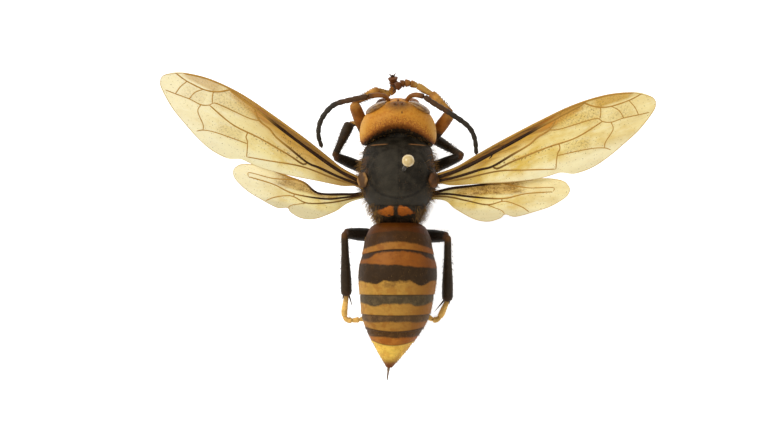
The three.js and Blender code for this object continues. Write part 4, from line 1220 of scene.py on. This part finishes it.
# Leading and trailing edges from root to tip: share of the span in mm, place along the chord in mm
foreEdges = {
    "lead": [(-2.4, 0.5), (0, 0.55), (2.95, 0.57), (6.24, 1.25), (11.2, 2.28), (16.6, 3.15), (22.2, 3.81), (27.3, 3.66), (31.4, 2.65), (33.4, 1.3), (33.8, 0.4)],
    "trail": [(-2.4, -0.8), (0, -0.9), (1.9, -1.78), (5.7, -2.8), (10.5, -4.12), (14.2, -4.87), (17.3, -5.0), (19.3, -5.85), (22.1, -5.8), (24.7, -5.1), (27.2, -4.12), (30.3, -2.7), (33.1, -0.75), (33.8, 0.4)],
}
foreVeins = {
    # name: (half width at the root, half width at the end, darkness, points)
    "costa": (0.20, 0.09, 0.45, [(-1.5, 0.42), (2.95, 0.45), (6.24, 1.12), (11.2, 2.12), (16.6, 2.98), (22.2, 3.66), (27.3, 3.52), (31.2, 2.6)]),
    "radius": (0.27, 0.13, 1.0, [(-1.5, 0.0), (1.0, 0.1), (4.1, 0.15), (9.45, 0.95), (14.9, 1.93), (19.5, 2.81), (23.9, 3.5)]),
    "media": (0.2, 0.09, 0.8, [(-1.5, -0.35), (3.1, -0.77), (6.3, -0.84), (8.3, -0.96), (11.6, -0.28), (14.35, 0.32), (15.85, 0.98), (17.8, 1.45), (19.4, 2.68)]),
    "cubitus": (0.12, 0.08, 0.6, [(8.3, -0.96), (8.9, -1.49), (11.3, -1.21), (16.5, -0.9), (21.1, -0.89), (25.55, 0.14)]),
    "discoidal": (0.07, 0.06, 0.3, [(17.8, 1.43), (19.4, 1.06), (23.8, 0.92), (25.1, 0.72), (25.55, 0.14), (26.7, -0.37), (28.6, -0.36), (31.0, -0.64), (32.4, -0.76)]),
    "marginal": (0.10, 0.07, 0.45, [(23.9, 3.5), (24.9, 2.72), (25.9, 2.19), (27.45, 1.82), (30.1, 1.81), (32.2, 2.13)]),
    "crossFirst": (0.07, 0.06, 0.3, [(25.9, 2.19), (25.7, 1.4), (25.32, 0.67)]),
    "crossSecond": (0.06, 0.06, 0.3, [(27.45, 1.82), (28.3, 0.89), (28.62, -0.36)]),
    "crossThird": (0.06, 0.06, 0.3, [(30.12, 1.81), (30.62, 0.62), (30.79, -0.6)]),
    "recurrent": (0.06, 0.06, 0.25, [(26.7, -0.37), (26.6, -1.49), (25.0, -2.86), (24.6, -3.62)]),
    "hindCubitus": (0.07, 0.06, 0.25, [(17.8, -2.49), (20.7, -2.81), (23.0, -3.14), (24.6, -3.62), (25.4, -4.2)]),
    "cubitalCross": (0.08, 0.06, 0.4, [(18.54, -0.97), (18.42, -1.67), (17.8, -2.36), (16.91, -4.32)]),
    "anal": (0.14, 0.07, 0.5, [(-1.5, -0.65), (0.56, -0.8), (3.6, -1.31), (8.8, -1.89), (13.2, -3.18), (16.9, -4.3)]),
    "hindMargin": (0.028, 0.022, 0.0, [(1.9, -1.72), (5.7, -2.74), (10.5, -4.06), (14.2, -4.82), (17.3, -4.95)]),
    "tipMargin": (0.032, 0.022, 0.0, [(31.2, 2.6), (33.3, 1.3), (33.7, 0.35), (33.0, -0.72), (30.2, -2.65), (27.1, -4.07), (24.6, -5.05), (22.0, -5.74), (19.4, -5.78)]),
    "fork": (0.11, 0.06, 0.9, [(8.9, 0.8), (8.6, 0.45), (8.2, 0.25)]),
}
hindLead = {
    "left": [(-2.4, 0.3), (0.5, 0.35), (3.0, 0.5), (6.9, 0.1), (9.4, 1.0), (12.0, 1.25)],
    "right": [(-2.4, 0.3), (0.5, 0.35), (3.0, 0.8), (6.2, 1.05), (10.9, 1.35)],
}
hindLeadTip = [(14.8, 1.6), (17.3, 1.52), (19.2, 0.99), (20.0, -0.1)]
hindTrail = [(-2.4, -0.7), (1.4, -0.95), (3.1, -2.3), (5.7, -3.9), (7.8, -4.4), (9.6, -4.0), (10.4, -3.45), (11.9, -3.85), (14.9, -3.2), (17.2, -2.5), (19.4, -1.25), (20.0, -0.1)]
hindVeins = {
    "media": (0.17, 0.06, 0.8, [(-1.5, 0.0), (0.7, 0.01), (2.8, -0.15), (5.5, -0.62), (10.0, -1.1), (13.2, -0.58), (15.05, -0.47), (17.49, -0.45)]),
    "cubitus": (0.13, 0.06, 0.6, [(-1.5, -0.25), (2.0, -0.47), (4.8, -1.15), (7.8, -1.91), (10.0, -1.52), (11.2, -1.71), (12.9, -2.48), (13.9, -3.25)]),
    "cross": (0.07, 0.07, 0.6, [(9.99, -1.1), (9.98, -1.3), (9.97, -1.52)]),
    "radial": (0.08, 0.05, 0.3, [(10.4, 1.0), (13.95, 0.29), (17.46, 0.18), (17.49, -0.45)]),
    "margin": (0.028, 0.022, 0.0, [(3.1, -2.24), (5.7, -3.84), (7.8, -4.34), (9.6, -3.95), (10.4, -3.42), (11.9, -3.8), (14.9, -3.15), (17.2, -2.45), (19.35, -1.2), (19.92, -0.1), (19.1, 0.95), (17.3, 1.46)]),
    "anal": (0.07, 0.05, 0.4, [(7.8, -1.91), (9.0, -2.44), (9.9, -2.85), (10.3, -3.35)]),
}
wings = {
    "left": {
        "side": 1,
        "dihedral": 15,
        "pitch": 7,
        "fore": {"x": 5.7, "y": -6.35, "sweep": 26.5, "size": 0.958, "bend": 0.0},
        "hind": {"x": 5.7, "y": -3.0, "sweep": 15.6, "size": 0.965, "bend": 1.56},
        "drop": 2.3,
    },
    "right": {
        "side": -1,
        "dihedral": 6,
        "pitch": 3,
        "fore": {"x": -5.6, "y": -6.8, "sweep": 18.5, "size": 0.985, "bend": 0.0},
        "hind": {"x": -5.1, "y": -4.5, "sweep": 2.5, "size": 0.995, "bend": 0.0},
        "drop": 1.8,
    },
}
wingRootCut = 0.6  # the membrane starts this far inside the root, so that the thorax hides its end


# Camber falls with the square of the chord place, with long soft creases between the veins.
def wingHeight(s, c, seed):
    folds = np.sin(c * 2.1 + s * 0.22 + seed) * 0.6 + np.sin(c * 3.7 - s * 0.35 + seed * 2) * 0.4
    return -wingForm["camber"] * c * c + wingForm["crease"] * folds * np.clip(s / 8, 0, 1)


# Wing coordinates to the body: size, pitch, dihedral, sweep, then the root's place.
def wingPlace(points, setting, part, drop):
    at = setting[part]
    rad = math.radians
    m = (
        Matrix.Translation((at["x"], at["y"], bodyZ + wingForm["rootZ"] - drop))
        @ Matrix.Diagonal((setting["side"], -1, 1, 1))
        @ Matrix.Rotation(rad(at["sweep"]), 4, "Z")
        @ Matrix.Rotation(rad(-setting["dihedral"]), 4, "Y")
        @ Matrix.Rotation(rad(setting["pitch"]), 4, "X")
        @ Matrix.Diagonal((at["size"], at["size"], 1, 1))
    )
    m = np.array(m)
    return points @ m[:3, :3].T + m[:3, 3]


def rootBend(points, bend):
    p = np.array(points, float)
    p[:, 1] += bend * np.clip(1 - p[:, 0] / 6, 0, None) ** 2
    return p


# Skin ruled between the two edges; its upper and lower faces meet at the rim.
def membranePiece(name, lead, trail, setting, part, drop, seed, material):
    rows, cols = 110, 34
    bend = setting[part]["bend"]
    share = 1 - (1 - np.linspace(0, 1, rows)) ** 1.25
    front, back = smoothPath(rootBend(lead, bend), share), smoothPath(rootBend(trail, bend), share)
    t = (0.5 - 0.5 * np.cos(np.linspace(0, np.pi, cols)))[None, :, None]
    flat = back[:, None, :] * (1 - t) + front[:, None, :] * t
    s, c = flat[..., 0], flat[..., 1]
    middle = wingHeight(s, c, seed)
    edge = np.sin(np.pi * np.clip(t[..., 0], 0.0, 1.0)) ** 0.3
    half = wingForm["thickness"] / 2 * (0.25 + 0.75 * edge)
    upper = np.stack([s, c, middle + half], axis=-1)
    lower = np.stack([s, c, middle - half], axis=-1)[:, ::-1]
    rings = np.concatenate([upper, lower], axis=1)
    points, faces, _ = closedGrid(rings)
    uvs = np.stack([points[:, 0] / 40, (points[:, 1] + 20) / 40], axis=1)
    placed = wingPlace(points, setting, part, drop)
    return outward(makeMesh(name, placed, faces, material, uvs, "wing"))


# Tubes along the veins, flattened into the membrane; each carries its darkness in its UV map, and
# the darkness fades towards the tip.
def veinsPiece(name, veins, setting, part, drop, seed):
    parts = []
    bend = setting[part]["bend"]
    for rootWidth, endWidth, dark, line in veins.values():
        flat = smoothPath(rootBend(line, bend), 8 + 7 * len(line))
        s, c = flat[:, 0], flat[:, 1]
        path = np.stack([s, c, wingHeight(s, c, seed)], axis=1)
        share = np.linspace(0, 1, len(path))
        width = (rootWidth + (endWidth - rootWidth) * share**0.7) * 1.3
        width *= 1 + 0.06 * np.sin(share * 23 + seed)
        width[0], width[-1] = width[0] * 0.5, width[-1] * 0.4
        points, faces, _ = closedGrid(tubeRings(path, width, width * 0.8, 8))
        low, high = ((12, 21) if dark == 1.0 else (8, 17)) if part == "fore" else (6, 12)
        fade = 1 - 0.85 * lipped(points[:, 0], low, high)
        uvs = np.stack([points[:, 0] / 40, dark * fade], axis=1)
        parts.append((points, faces, uvs))
    points, faces, uvs = joinParts(parts)
    placed = wingPlace(points, setting, part, drop)
    return outward(makeMesh(name, placed, faces, "vein", uvs, "wing"))


for seed, (name, setting) in enumerate(wings.items()):
    fore = membranePiece(f"forewing_{name}_membrane", foreEdges["lead"], foreEdges["trail"], setting, "fore", 0, seed, f"membraneFore{name.title()}")
    settle(fore, "wing", f"forewing_{name}")
    drawn = {key: vein for key, vein in foreVeins.items() if key != "fork" or name == "right"}
    settle(veinsPiece(f"forewing_{name}_veins", drawn, setting, "fore", 0, seed), "wing")
    lead = hindLead[name] + hindLeadTip
    leadVein = {"lead": (0.2, 0.1, 0.9, [(s - 0.4, c - 0.1) for s, c in hindLead[name]] + [(14.8, 1.48)])}
    hind = membranePiece(f"hindwing_{name}_membrane", lead, hindTrail, setting, "hind", setting["drop"], seed + 5, f"membraneHind{name.title()}")
    settle(hind, "wing", f"hindwing_{name}")
    settle(veinsPiece(f"hindwing_{name}_veins", {**leadVein, **hindVeins}, setting, "hind", setting["drop"], seed + 5), "wing")
print("wings made")


# Tapered three-sided hairs: each runs from its root along its way and bends by lean, and its UV
# patch, 0.003 across, sits where its root is on an unwrap about the body's long axis.
def hairPiece(name, roots, ways, lengths, width, lean, material, slot):
    count = len(roots)
    ways = ways / np.linalg.norm(ways, axis=1)[:, None]
    helper = np.where(np.abs(ways[:, 2:3]) > 0.8, np.array([[1.0, 0, 0]]), np.array([[0, 0, 1.0]]))
    side = np.cross(ways, helper)
    side /= np.linalg.norm(side, axis=1)[:, None]
    other = np.cross(ways, side)
    steps = np.array([0.0, 0.4, 0.75])
    taper = np.array([1.0, 0.75, 0.4])
    turn = np.arange(3) * 2 * np.pi / 3
    arc = lean[:, None, :] * (steps**2)[None, :, None]
    centre = roots[:, None, :] + (ways[:, None, :] * steps[None, :, None] + arc) * lengths[:, None, None]
    ring = np.cos(turn)[None, :, None] * side[:, None, :] + np.sin(turn)[None, :, None] * other[:, None, :]
    rows = centre[:, :, None, :] + ring[:, None, :, :] * (taper * width)[None, :, None, None]
    tips = roots + (ways + lean) * lengths[:, None]
    points = np.concatenate([rows.reshape(count, 9, 3), tips[:, None, :]], axis=1)
    quads = []
    for r in range(2):
        for c in range(3):
            n = (c + 1) % 3
            quads.append((r * 3 + c, r * 3 + n, (r + 1) * 3 + n, (r + 1) * 3 + c))
    quads += [(6 + c, 6 + (c + 1) % 3, 9, 9) for c in range(3)]
    quads.append((2, 1, 0, 0))
    faces = (np.array(quads)[None] + (np.arange(count) * 10)[:, None, None]).reshape(-1, 4)
    low, high = roots.min(0), roots.max(0)
    middle = (low + high) / 2
    around = np.arctan2(roots[:, 2] - middle[2], roots[:, 0] - middle[0]) / (2 * np.pi) + 0.5
    along = (roots[:, 1] - low[1]) / max(high[1] - low[1], 1e-6)
    patch = np.array([[i % 3, i // 3] for i in range(10)]) * 0.001
    uvs = np.stack([around, along], axis=1)[:, None, :] * 0.99 + patch[None]
    return settle(outward(makeMesh(name, points.reshape(-1, 3), faces, material, uvs.reshape(-1, 2), "OFBake")), slot)


# Random places on a skin, more where density(x, y, z, normal) is high.
def surfaceSpots(piece, count, density):
    mesh = piece.data
    mesh.calc_loop_triangles()
    co = np.zeros(len(mesh.vertices) * 3)
    mesh.vertices.foreach_get("co", co)
    co = co.reshape(-1, 3) / mm
    tri = np.zeros(len(mesh.loop_triangles) * 3, int)
    mesh.loop_triangles.foreach_get("vertices", tri)
    a, b, c = (co[tri.reshape(-1, 3)[:, k]] for k in range(3))
    normal = np.cross(b - a, c - a)
    area = np.linalg.norm(normal, axis=1) + 1e-12
    normal /= area[:, None]
    centre = (a + b + c) / 3
    weight = area * np.clip(density(centre[:, 0], centre[:, 1], centre[:, 2] - bodyZ, normal), 0, None)
    pick = rng.choice(len(area), count, p=weight / weight.sum())
    u, v = rng.random(count), rng.random(count)
    flip = u + v > 1
    u[flip], v[flip] = 1 - u[flip], 1 - v[flip]
    spots = a[pick] + (b - a)[pick] * u[:, None] + (c - a)[pick] * v[:, None]
    return spots, normal[pick]


def spread(count, amount):
    return rng.normal(0, amount, (count, 3))


skins = {o.name: o for o in bpy.data.objects if o.name.endswith("_skin")}
# name: skin, count, density, length range, width, stand, lie, material, slot
coats = {
    "thorax_fringe": (
        "thorax_skin",
        1150,
        lambda x, y, z, n: lipped(np.abs(x), 3.6, 4.9) * lipped(y, -12.0, -9.5) * (0.3 + (n[:, 2] < 0.5)),
        (0.45, 1.3),
        0.021,
        1.0,
        (0, 0.2, 0.05),
        "hairGold",
        "thorax_cuticle",
    ),
    "thorax_rear_fringe": (
        "thorax_skin",
        850,
        lambda x, y, z, n: lipped(y, -3.6, -2.0) * lipped(np.abs(x), 1.9, 3.0) * (0.25 + (n[:, 2] < 0.6)),
        (0.6, 1.5),
        0.022,
        1.0,
        (0, 0.35, 0.1),
        "hairGold",
        "thorax_cuticle",
    ),
    "thorax_down": (
        "thorax_skin",
        2600,
        lambda x, y, z, n: 0.3 + (n[:, 2] > 0.3) * 0.7,
        (0.1, 0.26),
        0.012,
        0.6,
        (0, 0.6, 0),
        "hairDark",
        "thorax_cuticle",
    ),
    "head_down": (
        "head_skin",
        2600,
        lambda x, y, z, n: 0.35 + 1.3 * lipped(y, -13.6, -12.0) + lipped(-z, 0, 3),
        (0.12, 0.42),
        0.013,
        0.8,
        (0, 0.2, 0.2),
        "hairGold",
        "head_cuticle",
    ),
    "gaster_down": (
        "gaster_skin",
        4300,
        lambda x, y, z, n: 0.4 + 1.2 * (n[:, 2] < 0.2) + 1.1 * lipped(y, 14, 18) * (n[:, 2] < 0.75),
        (0.16, 0.5),
        0.013,
        0.4,
        (0, 0.9, 0),
        "hairGold",
        "gaster_cuticle",
    ),
}
for name, (skin, count, density, span, width, stand, lie, material, slot) in coats.items():
    spots, normals = surfaceSpots(skins[skin], count, density)
    ways = normals * stand + np.array(lie) + spread(count, 0.22)
    lengths = rng.uniform(*span, count)
    sink = normals * 0.03
    hairPiece(name, spots - sink, ways, lengths, width, spread(count, 0.12) + np.array([0, 0.1, -0.05]), material, slot)


# Short bristles all along each femur, tibia and foot, leaning to the far end.
def legHair():
    roots, ways, lengths = [], [], []
    for name, leg in legs.items():
        stretches = (
            (leg["coxa"][2], leg["knee"], leg["femurRadius"] * 0.85, 240, (0.2, 0.5)),
            (leg["knee"], leg["ankle"], leg["tibiaRadius"] * 0.8, 340, (0.16, 0.42)),
            (leg["ankle"], leg["tarsus"][0], leg["footRadius"] * 0.7, 130, (0.14, 0.3)),
            (leg["tarsus"][0], leg["tarsus"][1], leg["footRadius"] * 0.65, 90, (0.12, 0.26)),
            (leg["tarsus"][1], leg["tarsus"][2], leg["footRadius"] * 0.6, 110, (0.12, 0.24)),
        )
        for start, end, radius, count, span in stretches:
            a, b = np.asarray(start, float), np.asarray(end, float)
            line = (b - a) / np.linalg.norm(b - a)
            side = np.cross(line, (0, 0, 1))
            side /= np.linalg.norm(side)
            over = np.cross(side, line)
            share, turn = rng.uniform(0.08, 0.95, count), rng.uniform(0, 2 * np.pi, count)
            out = np.cos(turn)[:, None] * side + np.sin(turn)[:, None] * over
            roots.append(a + (b - a) * share[:, None] + out * radius + [0, 0, bodyZ])
            ways.append(out * 0.75 + line * 0.8 + spread(count, 0.15))
            lengths.append(rng.uniform(*span, count))
    roots, ways, lengths = (np.concatenate(v) for v in (roots, ways, lengths))
    return hairPiece("leg_bristles", roots, ways, lengths, 0.017, spread(len(roots), 0.05), "hairDark", "leg_cuticle")


legHair()
print("hair made")


pin = {"top": (-1.31, -8.97, 15), "foot": (0.89, -4.9, -23), "radius": 0.27, "head": 0.86}
shaft = limbPart([pin["top"], pin["foot"]], [(0, 0.2), (0.02, pin["radius"]), (0.955, pin["radius"]), (0.995, 0.05), (1, 0.02)], 60, 20)
settle(outward(makeMesh("pin_shaft", *shaft[:2], "steel")), "pin_steel", "stand_pin")
knob = ball(pin["top"], (pin["head"],) * 3, (0, 0, 0), 36, 48, relief=lambda x, y, z: 1 + 0.012 * np.sin(5 * np.arctan2(y, x)) * (1 - z * z))
settle(outward(makeMesh("pin_head", *knob[:2], "pearl")), "pin_steel")

block = {"width": 7.4, "length": 31.0, "height": 6.5, "bevel": 0.6}


# A stadium outline carried up the height, drawn in by a quarter round at both rims.
def makeBlock():
    turn = np.linspace(0, 2 * np.pi, 96, endpoint=False)
    corner = np.linspace(0, np.pi / 2, 7)
    inset = np.concatenate([block["bevel"] * (1 - np.sin(corner)), block["bevel"] * (1 - np.cos(corner))])
    height = np.concatenate([block["bevel"] * (1 - np.cos(corner)), block["height"] - block["bevel"] * (1 - np.sin(corner))])
    inset, height = np.concatenate([[2.6], inset, [2.6]]), np.concatenate([[0], height, [block["height"]]])
    radius = (block["width"] / 2 - inset)[:, None]
    straight = (block["length"] - block["width"]) / 2
    x = radius * np.cos(turn)[None]
    y = radius * np.sin(turn)[None] + straight * np.sign(np.sin(turn))[None] * (np.abs(np.sin(turn)) > 1e-9)
    return np.stack([x, y, np.broadcast_to(height[:, None], x.shape)], axis=-1)


settle(outward(makeMesh("base_block", *closedGrid(makeBlock())[:2], "foam")), "base_white", "stand_base")
print("stand made")


def makeFloor():
    s = Shader("floorPaper")
    s.place()
    fine = s.noise(s.inMm, 0.02, 2.0)
    color = s.mix(fine, (0.95, 0.95, 0.95), (0.93, 0.93, 0.93))
    s.surface(color, 0.9, Emission_Color=(1.0, 1.0, 1.0), Emission_Strength=0.5)
    half = 600.0
    corners = np.array([[-half, -half, -0.02], [half, -half, -0.02], [half, half, -0.02], [-half, half, -0.02]])
    return makeMesh("floor", corners, np.array([[0, 1, 2, 3]]), s.material, smooth=False)


makeFloor()


def areaLight(name, place, aim, size, power):
    data = bpy.data.lights.new(name, "AREA")
    data.shape = "DISK"
    data.size = size
    data.energy = power
    lamp = bpy.data.objects.new(name, data)
    lamp.location = place
    way = Vector(aim) - Vector(place)
    lamp.rotation_euler = way.to_track_quat("-Z", "Y").to_euler()
    bpy.context.scene.collection.objects.link(lamp)
    return lamp


areaLight("keyLight", (0.36, -0.20, 0.46), (0, 0, 0.02), 0.30, 2.3)
areaLight("fillLight", (-0.30, 0.30, 0.50), (0, 0, 0.02), 0.5, 0.6)
world = bpy.data.worlds.new("softWhite")
world.use_nodes = True
world.node_tree.nodes["Background"].inputs[0].default_value = (1, 1, 1, 1)
world.node_tree.nodes["Background"].inputs[1].default_value = 0.52
bpy.context.scene.world = world
bpy.context.scene.view_settings.view_transform = "Standard"
print("light set")
